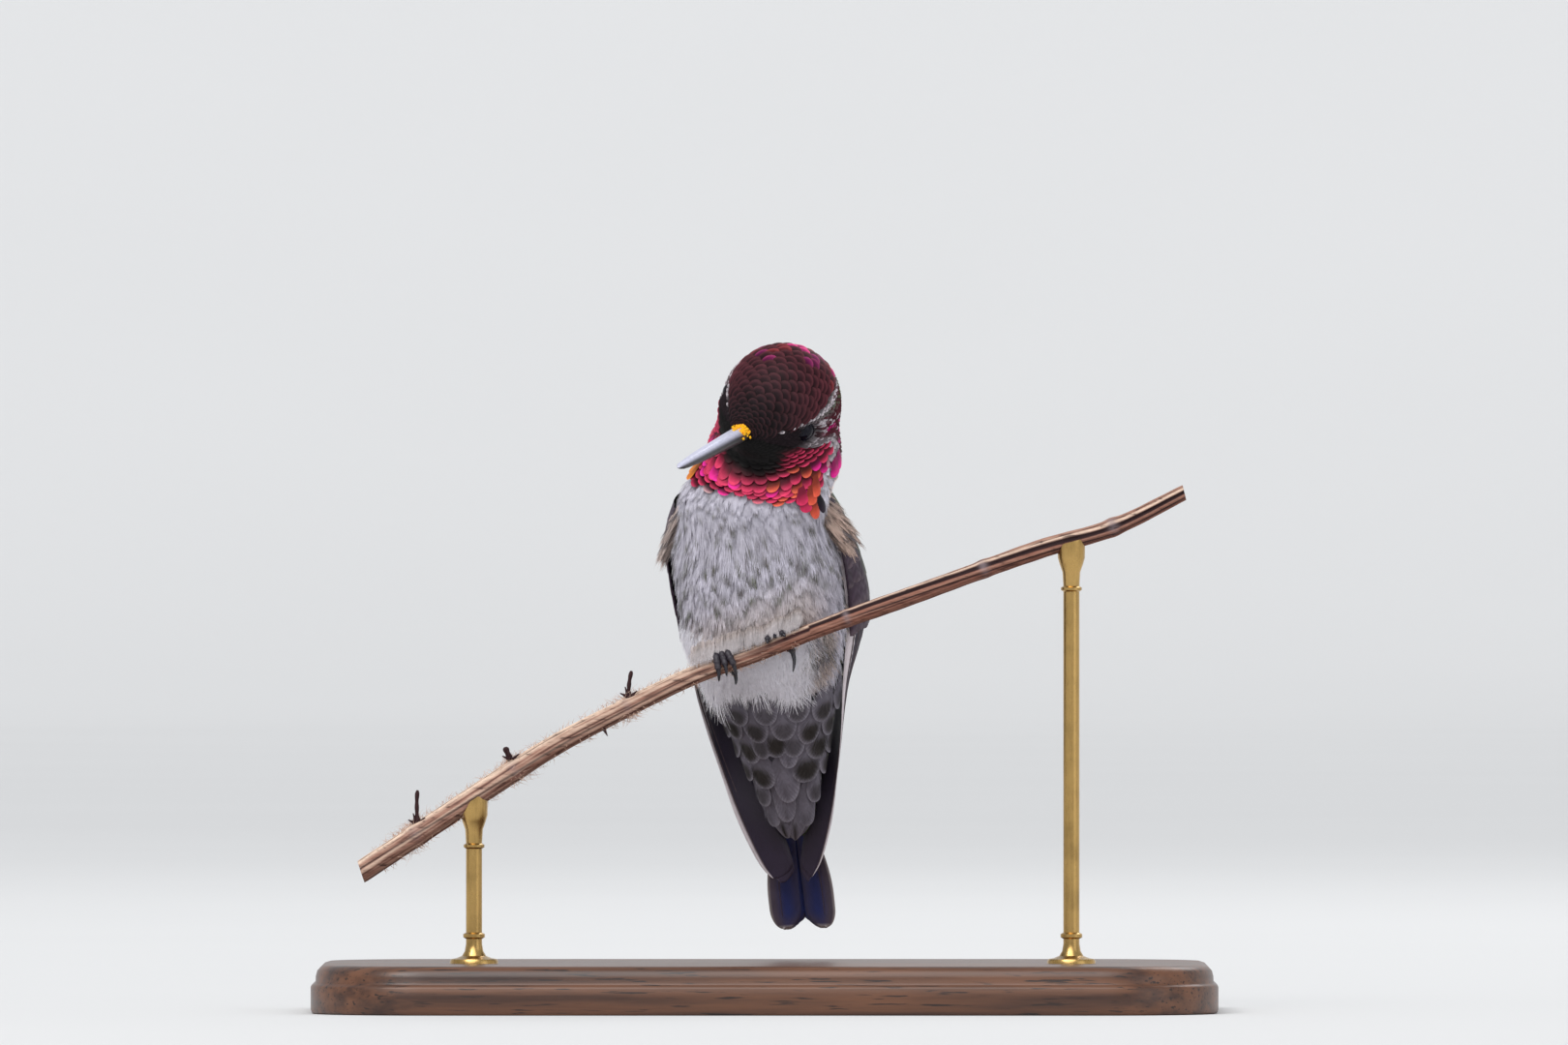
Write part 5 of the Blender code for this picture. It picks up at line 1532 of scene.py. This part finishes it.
def shoulder_tufts(side, sign, look):
    """Loose pale feathers over the wing's bend, on a sheet a little outside the wing."""
    lower, inward, round_place, tone = TUFT_PLACES[side]
    tailward, flat = folded_rows(TUFT_ROWS, 25, 25)
    spine = BREAST + (tailward[:, None, None] + lower) * TAILWARD
    grid = spine + sign * (flat[..., :1] - inward) * LEFT + flat[..., 1:] * BACK
    surface = Surface(grid, outward(grid, spine))
    random = np.random.default_rng(131 + (sign > 0))
    share = random.uniform(0.02, 0.46, TUFTS)
    around = np.clip(random.beta(1.0, 1.8, TUFTS) * 0.9, 0.005, 0.9)
    length = random.uniform(4.2, 6.4, TUFTS) + (1 - sign) * 0.5
    twist = random.normal(0, 6, TUFTS) - 8 * (around < 0.15)
    groups = plant(surface, share, around, length, length * 0.3,
                   [barbed_pattern(133 + number, 24, 3, 0.9) for number in range(5)],
                   twist, random.uniform(-0.9, 0.15, TUFTS), root=1.2, seed=134)
    level = random.uniform(0.7, 1.12, TUFTS)
    dark = (random.random(TUFTS) < 0.22)[:, None]
    base = np.where(dark, toned(look.ear, 0.7), toned(look.shoulder, *tone))
    base = blend(base, toned(look.nape, 1.2), smooth(0.45, 0.65, around)) * level[:, None]
    finish = feather_finish(f"shoulder_barbs_{side}", 3.0, 0.0, 0.16, 0.1, 0.75, Sheen_Weight=0.1)
    feather_piece(f"coat_shoulder_{side}", groups, 0.3 + 0.2 * share, round_place + 0.05 * (around - 0.5),
                  lambda along, across, number: base[number] * (0.62 + 0.45 * along)[..., None], finish,
                  "plumage_breast", 135)


TAIL_FEATHERS = (       # sideways place of the tip, half-width and reach downwards, from the outer one in
    (0.53, 0.47, 0.985), (0.47, 0.42, 0.992), (0.37, 0.38, 0.985), (0.27, 0.34, 0.975), (0.17, 0.3, 0.97),
)


def tail_blades(look):
    """Ten tail feathers. On each side the outer one lies lowest, and the others stack over it towards the
    middle and the back, each a little nearer the middle. The middle pair reaches least far."""
    blades = []
    s = blade_steps(0.12)
    for sign in (-1, 1):
        for k, (centre, half, tip) in enumerate(TAIL_FEATHERS):
            middle = 0.5 + sign * (0.18 + (centre - 0.18) * smooth(-0.2, 0.8, s)) * 0.5
            wide = sign * 0.5 * half * (0.6 + 0.4 * smooth(0, 0.7, s))
            layer = -0.34 + 0.13 * k + (0.05 if sign > 0 else 0.0) + 0.0 * s
            blades.append(blade(tail_surface(), s, 0.3, tip, middle + wide, middle - wide, layer, -0.25, 0.12,
                                0.1))

    def tint(along, across, number):
        place = np.mod(number, len(TAIL_FEATHERS))
        vane = across < ON_SHAFT
        base = blend(look.tail, look.tail_side, smooth(0.1, -0.7, across) * np.where(place < 2, 0.95, 0.1))
        base = blend(base, toned(look.tail_side, 0.7), smooth(0.2, 0.9, across) * (place == 0) * 0.5)
        base = blend(base, toned(look.tail_side, 0.8), smooth(0.9, 0.975, along) * 0.5)
        rim = np.maximum(smooth(-0.86, -0.97, across), smooth(0.975, 0.995, along))
        base = blend(base, look.tail_rim, rim * np.where(place < 2, 0.7, 0.25) * vane)
        return blend(base, look.shaft, (1.0 - vane) * 0.7)
    blades_piece("tail_feathers", blades, tint, vane_finish("tail_vanes", 0.38, Sheen_Weight=0.05),
                 "tail_feather",
                 "tail")


# ---------------------------------------------------------------- feet

PERCH_Y = -2.5
PERCH_LINE = (                  # x and z along the twig's middle
    (-50.0, 17.3), (-43.2, 21.8), (-31.2, 29.7), (-24.9, 33.6), (-17.0, 37.7), (-8.4, 41.8), (-1.5, 44.2),
    (7.2, 47.6), (19.2, 51.9), (34.2, 57.3), (43.2, 60.0), (52.0, 64.3),
)
PERCH_RADII = (                 # x and radius
    (-50.0, 1.5), (-37.0, 1.5), (-25.0, 1.4), (-17.0, 1.28), (-9.0, 1.26), (-1.5, 1.14), (7.0, 1.02),
    (14.0, 1.16), (27.0, 1.12), (34.0, 1.18), (43.0, 1.1), (52.0, 0.95),
)
GAP = 0.3
TOE_RADIUS, CLAW_RADIUS, TOE_SPREAD, TOE_SIDES = 0.34, 0.27, 1.05, 14
FEET = {        # place along the twig, slant and hang of the hind claw, end and hang of the front toes
    "right": (-4.9, 0.9, 1.0, -24.0, 0.45),
    "left": (1.7, 1.5, 2.2, 40.0, 0.0),
}


def perch_middle(x):
    """Place on the twig's middle line at each x."""
    line = curve(PERCH_LINE, np.linspace(0, 1, 200))
    return np.stack([x, np.full_like(x, PERCH_Y), np.interp(x, line[:, 0], line[:, 1])], axis=-1)


def perch_radius(x):
    """The twig's radius at each x."""
    return np.interp(x, *zip(*PERCH_RADII))


def around_perch(x, degrees, radius):
    """Place round the twig at x: 0 degrees is its front, 90 its top and 180 its back."""
    x = np.asarray(x, float)
    ahead = unit(perch_middle(x + 0.5) - perch_middle(x - 0.5))
    top = unit(np.cross(ahead, [0.0, 1.0, 0.0]))
    way = swing(np.radians(degrees), np.array([0.0, -1.0, 0.0]), top * np.sign(top[..., 2:]))
    return perch_middle(x) + np.asarray(radius, float)[..., None] * way


def toe_rings(x_start, x_end, start, end, hang):
    """Toe wrapped round the twig, with a claw that hangs down past its end. Its radius has a bead for each
    scute, 0.1 * |sin(26 s)|, swells at the joints, and from s = 0.82 narrows to the claw's point. Returns the
    rings, and how much of each is claw."""
    s = np.linspace(0, 1.08, 70)
    x = x_start + (x_end - x_start) * s - 0.2 * hang * smooth(0.92, 1.08, s)
    hold = perch_radius(x) + TOE_RADIUS + 0.12
    path = around_perch(x, start + (end - start) * s, hold + 0.2 * smooth(0.8, 1.08, s))
    path[:, 2] -= hang * smooth(0.8, 1.08, s)
    scutes = 1 + 0.1 * np.abs(np.sin(26 * s)) + 0.14 * np.cos(2 * np.pi * s * 3) ** 4
    thick = TOE_RADIUS * 1.12 * scutes * smooth(1.4, 0.7, s) ** 0.3
    claw = CLAW_RADIUS * 1.1 * np.clip((1.085 - s) / 0.22, 0, 1) ** 0.6
    share = smooth(0.82, 0.88, s)
    return tube(path, thick * (1 - share) + claw * share, TOE_SIDES), share


def foot_piece(side, look):
    """Foot that grips the twig with three toes over its front and one behind, with bare scaled skin."""
    x, slant, hind_hang, end, hang = FEET[side]
    heel = around_perch(x, 125.0, perch_radius(x) + GAP + 0.75)
    parts = [shell(heel + sphere(12, 18, 0.1) * (0.9, 0.72, 0.72))]
    claws = [np.zeros(len(parts[0][0]))]
    toes = [(x + i * 0.35, x + i * TOE_SPREAD, 128.0, end - 12.0 * abs(i), hang) for i in (-1, 0, 1)]
    for toe in toes + [(x, x + slant, 130.0, 262.0, hind_hang)]:
        rings, share = toe_rings(*toe)
        parts.append(shell(rings))
        claws.append(np.append(np.repeat(share, TOE_SIDES), [share[0], share[-1]]))
    finish = Finish(f"foot_{side}_scutes", Coat_Weight=0.15, Coat_Roughness=0.3)
    grain = finish.noise(9.0, 3.0)
    skin = finish.mix(look.toe, np.minimum(toned(look.toe, 3.2), 1.0), finish.between(grain, 0.45, 0.75))
    claw = finish.attribute("claw")
    finish.feed("Base Color", finish.mix(skin, look.claw, claw))
    finish.feed("Roughness", 0.5 - claw * 0.25)
    finish.relief(grain, 0.4)
    piece(f"foot_scaled_{side}", *joined(parts), finish, "foot", f"foot_{side}",
          values={"claw": np.concatenate(claws)})


def leg_finish(look):
    """Finish of the short legs, which are the solids' own shapes inside the belly's feathers."""
    finish = Finish("leg_skin", Roughness=0.6)
    grain = finish.noise(8.0, 3.0)
    finish.feed("Base Color", finish.mix(look.toe, toned(look.toe, 2.0), grain))
    finish.relief(grain, 0.3)
    for side in FEET:
        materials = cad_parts[f"leg_{side}"].data.materials
        materials.clear()
        materials.append(finish.material)


# ---------------------------------------------------------------- twig

KNOTS = (           # place, height and half-length of each swelling with its grey scar
    (-43.2, 0.1, 0.8), (-31.0, 0.08, 0.7), (-17.0, 0.06, 0.6), (10.2, 0.07, 0.5), (27.2, 0.1, 0.7),
    (43.2, 0.14, 0.8),
)
FUZZY_KNOTS = 3     # the first knots have fuzz round them
STUBS = (           # place, height, radius at the foot and at the tip, and lean of each dead shoot
    (-43.2, 4.2, 0.6, 0.28, 0.05), (-31.0, 1.7, 0.7, 0.4, -0.35), (-17.0, 3.3, 0.5, 0.28, 0.1),
)
THORN_X = -20.4
TWIG_ROWS, TWIG_COLUMNS = 460, 72
HAIRS, HAIR_STEPS = 900, 4


def degrees_off(angle, place):
    """Degrees from a place round the twig, -180 to 180."""
    return (angle - place + 180) % 360 - 180


def twig_piece(look):
    """The twig's skin of dry ridged bark: pale tan on the sunlit ribs of the left half, red-brown on the
    right, dark in the grooves. The radius at x and angle a is the perch's, with lengthwise ribs, a sum of
    sines of a whose phases drift along x, a wide groove near its front, and a swelling at each knot."""
    x = np.linspace(PERCH_LINE[0][0], PERCH_LINE[-1][0], TWIG_ROWS)[:, None]
    a = np.linspace(0, 360, TWIG_COLUMNS, endpoint=False)[None, :]
    turned = np.radians(a)
    ribs = (0.030 * np.sin(7 * turned + 0.11 * x + np.sin(0.21 * x)) + 0.022 * np.sin(13 * turned - 0.17 * x)
            + 0.014 * np.sin(23 * turned + 0.4 * x + 2 * np.sin(0.13 * x)) + 0.01
            * np.sin(1.9 * x + 3 * turned))
    place = 20 * np.sin(0.09 * x + 0.6) + np.where(x > 5.7, 22, 4)
    off = degrees_off(a, place)
    far = smooth(4.5, 7.0, x)
    deep = (0.35 + 0.65 * far) * (1 - smooth(-7, -5, x) * smooth(6, 4, x))
    groove = -0.22 * bell(off / (10 + 3 * far), 0, 1) * deep
    groove = groove - 0.1 * bell(degrees_off(a, place - 46), 0, 8) * (0.5 + 0.5 * smooth(8.0, 14.0, x))
    bulge = sum(rise * bell(x, at, half) for at, rise, half in KNOTS) * (1 + 0.6 * np.cos(turned - 0.6))
    scar = sum(bell(x, at, half * 0.7) for at, _, half in KNOTS) * bell(degrees_off(a, 25), 0, 55)
    radius = perch_radius(x) - 0.1 * smooth(6.0, -6.0, x) - 0.03 + ribs + groove + bulge
    x, a = np.broadcast_arrays(x, a)
    points, faces = shell(around_perch(x, a, radius))

    right = smooth(-8.0, 4.0, x)
    # Painted light: the raised ribs and the upper side paler, as the sun lights them, less so on the right
    # half
    lit = 0.15 + 0.45 * smooth(-0.03, 0.04, ribs) + 0.6 * smooth(28, 62, a) * smooth(150, 110, a)
    colour = look.bark_warm
    for layer, cover in (
            (look.bark_light, np.clip(lit, 0, 1) * (1 - 0.75 * right)),
            # painted shade along the twig's underside
            (toned(look.bark_warm, 0.6), 0.6 * smooth(350, 320, a) * smooth(200, 240, a)),
            # painted highlight: a pale line just above the right half's groove
            (look.bark_light, 0.9 * right * bell(off, 28, 11)),
            (look.bark_dark, 0.7 * smooth(-0.02, -0.05, ribs)),
            (toned(look.bark_dark, 1.2, 0.7, 0.8), right * smooth(20, 9, np.abs(off)) * 0.95),
            (look.bark_dark, smooth(-0.02, -0.1, groove)),
            (look.scar, np.clip(scar, 0, 1) * 0.6 * (0.4 + 0.6 * right))):
        colour = blend(colour, layer, cover)
    finish = Finish("twig_bark", Specular_IOR_Level=0.25)
    fibre = finish.noise(2.4, 6.0, (0.16, 1.0, 1.0))
    thread = finish.noise(7.0, 4.0, (0.1, 1.0, 1.0))
    wood = finish.shaded(fibre * 0.7 + thread * 0.6 + 0.3)
    finish.feed("Base Color", finish.mix(wood, look.bark_dark, finish.between(fibre, 0.42, 0.3) * 0.7))
    finish.feed("Roughness", thread * 0.25 + 0.62)
    finish.relief(fibre * 1.2 + thread * 0.6, 0.75, 0.0002)
    piece("twig_bark_shell", points, faces, finish, "bark", "perch",
          values={"tint": ended(colour.reshape(-1, 3))})
    return finish


def stub_piece(bark, look):
    """Dead side shoots and the scars that they stand on: bent bars with ringed bark and frayed ends."""
    parts = []
    s = np.linspace(0, 1, 40)
    t = np.linspace(0, 1, 10)
    for at, height, foot, tip, lean in STUBS:
        root = perch_middle(np.array([at]))[0]
        way = unit([lean, -0.15, 1.0])
        bend = 0.12 * (np.sin(5 * s + at) * s)[:, None] * (1.0, 0.4, 0.0)
        path = root + (perch_radius(at) + height) * s[:, None] * way + bend
        radius = (foot + (tip - foot) * smooth(0.25, 0.5, s)) * (0.9 + 0.1 * np.sin(23 * s))
        parts.append(shell(tube(path, radius * (1 - 0.4 * smooth(0.95, 1, s)), 12)))
        for number, side in enumerate((-1.0, 1.0, -0.3)):
            start = root + perch_radius(at) * way + (0.25 * side, -0.3, 0.1)
            out = (0.9 + 0.2 * number) * unit([side, -0.4, 0.5 + 0.3 * number])
            parts.append(shell(tube(start + t[:, None] * out, 0.22 * (1 - 0.7 * t), 8)))
    thorn = around_perch(np.full(8, THORN_X), np.full(8, -70.0),
                         perch_radius(THORN_X) - 0.2 + np.linspace(0, 1.1, 8))
    parts.append(shell(tube(thorn, np.linspace(0.25, 0.04, 8), 8)))
    points, faces = joined(parts)
    tint = np.broadcast_to(toned(look.bark_dark, 1.5), (len(points), 3))
    piece("twig_stubs", points, faces, bark, "bark", values={"tint": tint})


def fuzz_piece(look):
    """Pale dry hairs on the twig's upper and lower edges and round the scars: thin strips that stand out and
    lean along the twig."""
    random = np.random.default_rng(151)
    near = random.random(HAIRS) < 0.25
    x = np.where(near, random.choice([at for at, _, _ in KNOTS[:FUZZY_KNOTS]], HAIRS)
                 + random.normal(0, 0.8, HAIRS),
                 random.uniform(-48, 4, HAIRS))
    angle = np.where(random.random(HAIRS) < 0.6, random.normal(88, 24, HAIRS), random.normal(-78, 26, HAIRS))
    length = (random.uniform(0.2, 0.75, HAIRS) * np.where(near, 1.5, 1.0))[:, None]
    t = np.linspace(0, 1, HAIR_STEPS)[None, :]
    here = x[:, None] + random.normal(0.3, 0.8, HAIRS)[:, None] * length * t ** 1.5
    reach = perch_radius(here) - 0.05 + length * t
    path = around_perch(here, angle[:, None] + random.normal(0, 8, HAIRS)[:, None] * t, reach)
    side = unit(np.cross(np.gradient(path, axis=1), [0.2, 1.0, 0.1]))
    points, faces = strips(path, side * 0.028 * (1.1 - t)[..., None])
    finish = Finish("twig_fuzz_pale", Roughness=0.8)
    finish.feed("Base Color", finish.mix(look.bark_warm, look.bark_light, finish.noise(2.0, 2.0)))
    piece("twig_fuzz", points.reshape(-1, 3), faces, finish, "bark")


# ---------------------------------------------------------------- stand

BASE_CORNER = 14.0
CORNER_STEPS = 16
BASE_PROFILE = (    # inset and height of the base's ogee edge, up to its rim
    (0.5, 0.0), (0.15, 0.12), (0.0, 0.5), (0.0, 3.3), (0.12, 3.55), (0.5, 3.7), (0.6, 3.95), (0.62, 4.6),
    (0.8, 5.3), (1.25, 5.8),
)
BASE_TOP = ((1.9, 0.0), (3.0, -0.02), (10.0, -0.05), (20.0, -0.05))     # inset, and height against the top
ROD_X = {"left": -36.0, "right": 38.0}
ROD_FOOT = (        # height over the base, and radius
    (-0.3, 3.0), (0.25, 3.0), (0.5, 2.85), (0.62, 2.2), (0.9, 1.5), (1.5, 1.15), (2.4, 1.0), (3.0, 1.0),
    (3.2, 1.35), (3.6, 1.35), (3.8, 1.0),
)
ROD_HEAD = (        # height against the twig's middle, and radius
    (-6.4, 1.0), (-6.2, 1.3), (-5.9, 1.3), (-5.7, 1.0), (-4.0, 1.1), (-3.0, 1.45), (-2.2, 1.68),
)
SADDLE_RADIUS, SADDLE_GAP = 1.7, 0.12


def base_piece(look):
    """Walnut base: a rounded rectangle carried up a profile with an ogee edge, and a slightly dished top."""
    low, high = (np.array(corner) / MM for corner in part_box("stand_base"))
    half = (high - low)[:2] / 2
    angle = np.concatenate([np.radians(np.linspace(0, 90, CORNER_STEPS) + 90 * quarter)
                            for quarter in range(4)])
    quadrant = np.repeat([(1, 1), (-1, 1), (-1, -1), (1, -1)], CORNER_STEPS, axis=0)
    outline = quadrant * (half - BASE_CORNER) + BASE_CORNER * swing(angle, [1.0, 0.0], [0.0, 1.0])
    profile = np.array(BASE_PROFILE + tuple((inset, high[2] + drop) for inset, drop in BASE_TOP))
    inset, level = profile[:, 0, None, None], profile[:, 1, None, None]
    rings = np.concatenate([outline * (1 - inset / half), level + 0 * outline[None, :, :1]], axis=-1)
    finish = Finish("base_walnut_oiled", Coat_Weight=0.25, Coat_Roughness=0.25)
    bend = finish.noise(0.03, 3.0, (0.3, 1.0, 1.0))
    grain = finish.noise(0.55, 6.0, (0.05, 1.0, 1.0))
    pores = finish.noise(2.6, 3.0, (0.06, 1.0, 1.0))
    wood = finish.mix(look.wood_dark, look.wood_light, finish.between(grain + bend * 0.3, 0.4, 0.85))
    wood = finish.mix(wood, toned(look.wood_dark, 0.5), finish.between(pores, 0.42, 0.34))
    finish.feed("Base Color", wood)
    finish.feed("Roughness", grain * 0.2 + 0.3)
    finish.relief(pores, 0.12)
    piece("base_walnut", *shell(rings), finish, "base_wood", "stand_base")


def rod_piece(side, look):
    """Brass rod turned on a lathe: a foot flange on the base, a slim shaft with rings, and a saddle hollowed
    out to follow the twig's underside."""
    x = ROD_X[side]
    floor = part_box("stand_base")[1][2] / MM
    top = perch_middle(np.array([x]))[0, 2]
    profile = [(floor + height, radius) for height, radius in ROD_FOOT]
    profile = np.array(profile + [(top + height, radius) for height, radius in ROD_HEAD])
    way = swing(circle(48), [1.0, 0.0], [0.0, 1.0])
    bar = profile[:, 1, None, None] * way + (x, PERCH_Y)
    rings = [np.concatenate([bar, profile[:, :1, None] + 0 * bar[..., :1]], axis=-1)]
    lip = np.sort(x + SADDLE_RADIUS * way[:, 0])
    for share in (1.0, 0.66, 0.33, 0.05):
        sideways, y = (share * SADDLE_RADIUS * way).T
        under = np.sqrt(np.maximum((perch_radius(x + sideways) + SADDLE_GAP) ** 2 - y ** 2, 0.05))
        height = np.interp(x + sideways, lip, perch_middle(lip)[:, 2]) - under
        rings.append(np.stack([x + sideways, PERCH_Y + y, height], axis=-1)[None])
    finish = Finish(f"rod_brass_{side}", Metallic=1.0, Coat_Weight=0.1)
    brushed = finish.noise(3.0, 4.0, (1.0, 1.0, 0.08))
    cloud = finish.noise(0.25, 4.0)
    finish.feed("Base Color", finish.mix(toned(look.brass, 0.72), look.brass,
                                         finish.between(cloud + brushed * 0.3, 0.4, 0.8)))
    finish.feed("Roughness", brushed * 0.16 + 0.2)
    finish.relief(brushed, 0.06)
    rod = piece(f"rod_turned_{side}", *shell(np.concatenate(rings)), finish, "rod_brass", f"stand_rod_{side}")
    rod.data.set_sharp_from_angle(angle=math.radians(35))


# ---------------------------------------------------------------- stage

FLOOR_FLAT, FLOOR_EDGE = 4.6, 7.5           # radius in metres where the floor curves up, and where it ends
AIM = Vector((0.0, 0.0, 0.055))


def lamp(name, place, size, power, colour=(1.0, 1.0, 1.0)):
    """Square soft lamp at a place in metres, turned to the model."""
    light = bpy.data.lights.new(name, "AREA")
    light.size, light.energy, light.color = size, power, colour
    item = add_object(name, light)
    item.location = place
    item.rotation_euler = (AIM - Vector(place)).to_track_quat("-Z", "Y").to_euler()


def floor_piece(look):
    """Round floor that curves up far away: the height at radius r is 0.35 * max(r - FLOOR_FLAT, 0) ** 2."""
    radius = np.concatenate([[0.0001], np.linspace(0.2, FLOOR_FLAT, 24),
                             np.linspace(4.7, FLOOR_EDGE, 24)])[:, None]
    ring = radius[..., None] * swing(circle(96), [1.0, 0.0, 0.0], [0.0, 1.0, 0.0])
    points = (ring + (0.35 * np.maximum(radius - FLOOR_FLAT, 0) ** 2)[..., None] * UP).reshape(-1, 3) / MM
    item = make_mesh("floor", points, grid_faces(radius.size, 96, closed=True))
    finish = Finish("floor_paper", Roughness=0.9, Specular_IOR_Level=0.1)
    finish.feed("Base Color", finish.mix(toned(look.floor, 0.97), look.floor, finish.noise(0.004, 2.0)))
    item.data.materials.append(finish.material)


def lights_and_camera(look):
    """Even light from all round, three soft lamps, a wide soft sun and the camera."""
    scene = bpy.context.scene
    scene.view_settings.view_transform = "Standard"
    scene.world = bpy.data.worlds.new("even_light")
    scene.world.use_nodes = True
    background = scene.world.node_tree.nodes["Background"]
    background.inputs["Color"].default_value = (0.93, 0.96, 1.0, 1.0)
    background.inputs["Strength"].default_value = look.sky
    lamp("key_lamp", (-0.6, -0.9, 1.0), 0.5, look.key, (1.0, 0.985, 0.96))
    lamp("fill_lamp", (0.95, -0.75, 0.35), 0.7, look.fill, (0.95, 0.97, 1.0))
    lamp("rim_lamp", (0.45, 0.85, 0.9), 0.5, look.rim)
    sun = bpy.data.lights.new("sky_sun", "SUN")
    sun.energy, sun.angle = look.sun, math.radians(50)
    add_object("sky_sun", sun).rotation_euler = (math.radians(42), math.radians(-14), 0.0)
    camera = bpy.data.cameras.new("camera")
    camera.sensor_width, camera.lens = 36.0, look.lens
    camera.clip_start, camera.clip_end = 0.05, 50.0
    scene.camera = add_object("camera", camera)
    scene.camera.location = (look.sideways, -look.distance, look.height)
    scene.camera.rotation_euler = (math.radians(90), 0.0, 0.0)


# ---------------------------------------------------------------- operators and panel

class HUMMINGBIRD_OT_stage(bpy.types.Operator):
    """Set up the floor, the lamps and the camera"""
    bl_idname = "hummingbird.stage"
    bl_label = "Stage"

    def execute(self, context):
        floor_piece(context.scene.hummingbird_stage)
        lights_and_camera(context.scene.hummingbird_stage)
        return {"FINISHED"}


class HUMMINGBIRD_OT_skin(bpy.types.Operator):
    """Make the one skin under all the feathers"""
    bl_idname = "hummingbird.skin"
    bl_label = "Skin"

    def execute(self, context):
        skin_piece()
        return {"FINISHED"}


class HUMMINGBIRD_OT_eyes(bpy.types.Operator):
    """Make the eyeballs and their lids"""
    bl_idname = "hummingbird.eyes"
    bl_label = "Eyes"

    def execute(self, context):
        for side, centre in eye_centres().items():
            eye_piece(side, centre, context.scene.hummingbird_bare)
            lid_piece(side, centre, context.scene.hummingbird_bare)
        return {"FINISHED"}


class HUMMINGBIRD_OT_bill(bpy.types.Operator):
    """Make both halves of the bill and the pollen on its root"""
    bl_idname = "hummingbird.bill"
    bl_label = "Bill"

    def execute(self, context):
        look = context.scene.hummingbird_bare
        bill_piece("bill_upper_half", "bill_upper", BILL_LENGTH, BILL_UPPER_HEIGHT, 1, look)
        bill_piece("bill_lower_half", "bill_lower", BILL_LENGTH - BILL_LOWER_SHORT, BILL_LOWER_HEIGHT, -1,
                   look)
        pollen_piece(look)
        return {"FINISHED"}


class HUMMINGBIRD_OT_head(bpy.types.Operator):
    """Lay the scales of the crown, face and throat"""
    bl_idname = "hummingbird.head"
    bl_label = "Head feathers"

    def execute(self, context):
        for coat in (crown_coat, face_coat, throat_coat, corner_tufts):
            coat(context.scene.hummingbird_plumage)
        return {"FINISHED"}


class HUMMINGBIRD_OT_body(bpy.types.Operator):
    """Lay the feathers of the breast, belly, vent, tail coverts and back"""
    bl_idname = "hummingbird.body"
    bl_label = "Body feathers"

    def execute(self, context):
        for coat in (breast_coat, vent_coat, comb_coat, covert_coat, back_coat):
            coat(context.scene.hummingbird_plumage)
        return {"FINISHED"}


class HUMMINGBIRD_OT_wings(bpy.types.Operator):
    """Fold the wings: long feathers, coverts and the tufts over the bends"""
    bl_idname = "hummingbird.wings"
    bl_label = "Wings"

    def execute(self, context):
        flight, plumage = context.scene.hummingbird_flight, context.scene.hummingbird_plumage
        for side, sign in (("left", 1), ("right", -1)):
            wing_blades(side, sign, flight)
            wing_coverts(side, sign, flight, plumage)
            shoulder_tufts(side, sign, plumage)
        return {"FINISHED"}


class HUMMINGBIRD_OT_tail(bpy.types.Operator):
    """Stack the ten tail feathers"""
    bl_idname = "hummingbird.tail"
    bl_label = "Tail"

    def execute(self, context):
        tail_blades(context.scene.hummingbird_flight)
        return {"FINISHED"}


class HUMMINGBIRD_OT_feet(bpy.types.Operator):
    """Wrap the toes round the twig"""
    bl_idname = "hummingbird.feet"
    bl_label = "Feet"

    def execute(self, context):
        for side in FEET:
            foot_piece(side, context.scene.hummingbird_bare)
        leg_finish(context.scene.hummingbird_bare)
        return {"FINISHED"}


class HUMMINGBIRD_OT_twig(bpy.types.Operator):
    """Make the twig with its ridges, scars, stubs and fuzz"""
    bl_idname = "hummingbird.twig"
    bl_label = "Twig"

    def execute(self, context):
        look = context.scene.hummingbird_support
        stub_piece(twig_piece(look), look)
        fuzz_piece(look)
        return {"FINISHED"}


class HUMMINGBIRD_OT_stand(bpy.types.Operator):
    """Make the display stand's base and rods"""
    bl_idname = "hummingbird.stand"
    bl_label = "Stand"

    def execute(self, context):
        base_piece(context.scene.hummingbird_support)
        for side in ROD_X:
            rod_piece(side, context.scene.hummingbird_support)
        return {"FINISHED"}


STEPS = (
    HUMMINGBIRD_OT_stage, HUMMINGBIRD_OT_skin, HUMMINGBIRD_OT_eyes, HUMMINGBIRD_OT_bill, HUMMINGBIRD_OT_head,
    HUMMINGBIRD_OT_body, HUMMINGBIRD_OT_wings, HUMMINGBIRD_OT_tail, HUMMINGBIRD_OT_feet, HUMMINGBIRD_OT_twig,
    HUMMINGBIRD_OT_stand,
)
SETTINGS = {"plumage": PlumageSettings, "flight": FlightSettings, "bare": BareSettings,
            "support": SupportSettings,
            "stage": StageSettings}


class HUMMINGBIRD_PT_steps(bpy.types.Panel):
    """Lists the steps that build the model, with their settings"""
    bl_idname = "HUMMINGBIRD_PT_steps"
    bl_label = "Perched hummingbird"
    bl_space_type = "VIEW_3D"
    bl_region_type = "UI"
    bl_category = "Hummingbird"

    def draw(self, context):
        for step in STEPS:
            self.layout.operator(step.bl_idname)
        for title, group in SETTINGS.items():
            box = self.layout.box()
            box.label(text=title.capitalize())
            for name in group.__annotations__:
                box.prop(getattr(context.scene, f"hummingbird_{title}"), name)


def register():
    """Register the settings, the steps and the panel."""
    for title, group in SETTINGS.items():
        bpy.utils.register_class(group)
        setattr(bpy.types.Scene, f"hummingbird_{title}", PointerProperty(type=group))
    for made in STEPS + (HUMMINGBIRD_PT_steps,):
        bpy.utils.register_class(made)


def unregister():
    """Take away all that register added, in reverse."""
    for made in reversed(STEPS + (HUMMINGBIRD_PT_steps,)):
        bpy.utils.unregister_class(made)
    for title, group in SETTINGS.items():
        delattr(bpy.types.Scene, f"hummingbird_{title}")
        bpy.utils.unregister_class(group)


def main():
    """Run the steps in order."""
    register()
    for step in STEPS:
        getattr(bpy.ops.hummingbird, step.bl_idname.split(".")[1])()


if __name__ == "__main__":
    main()
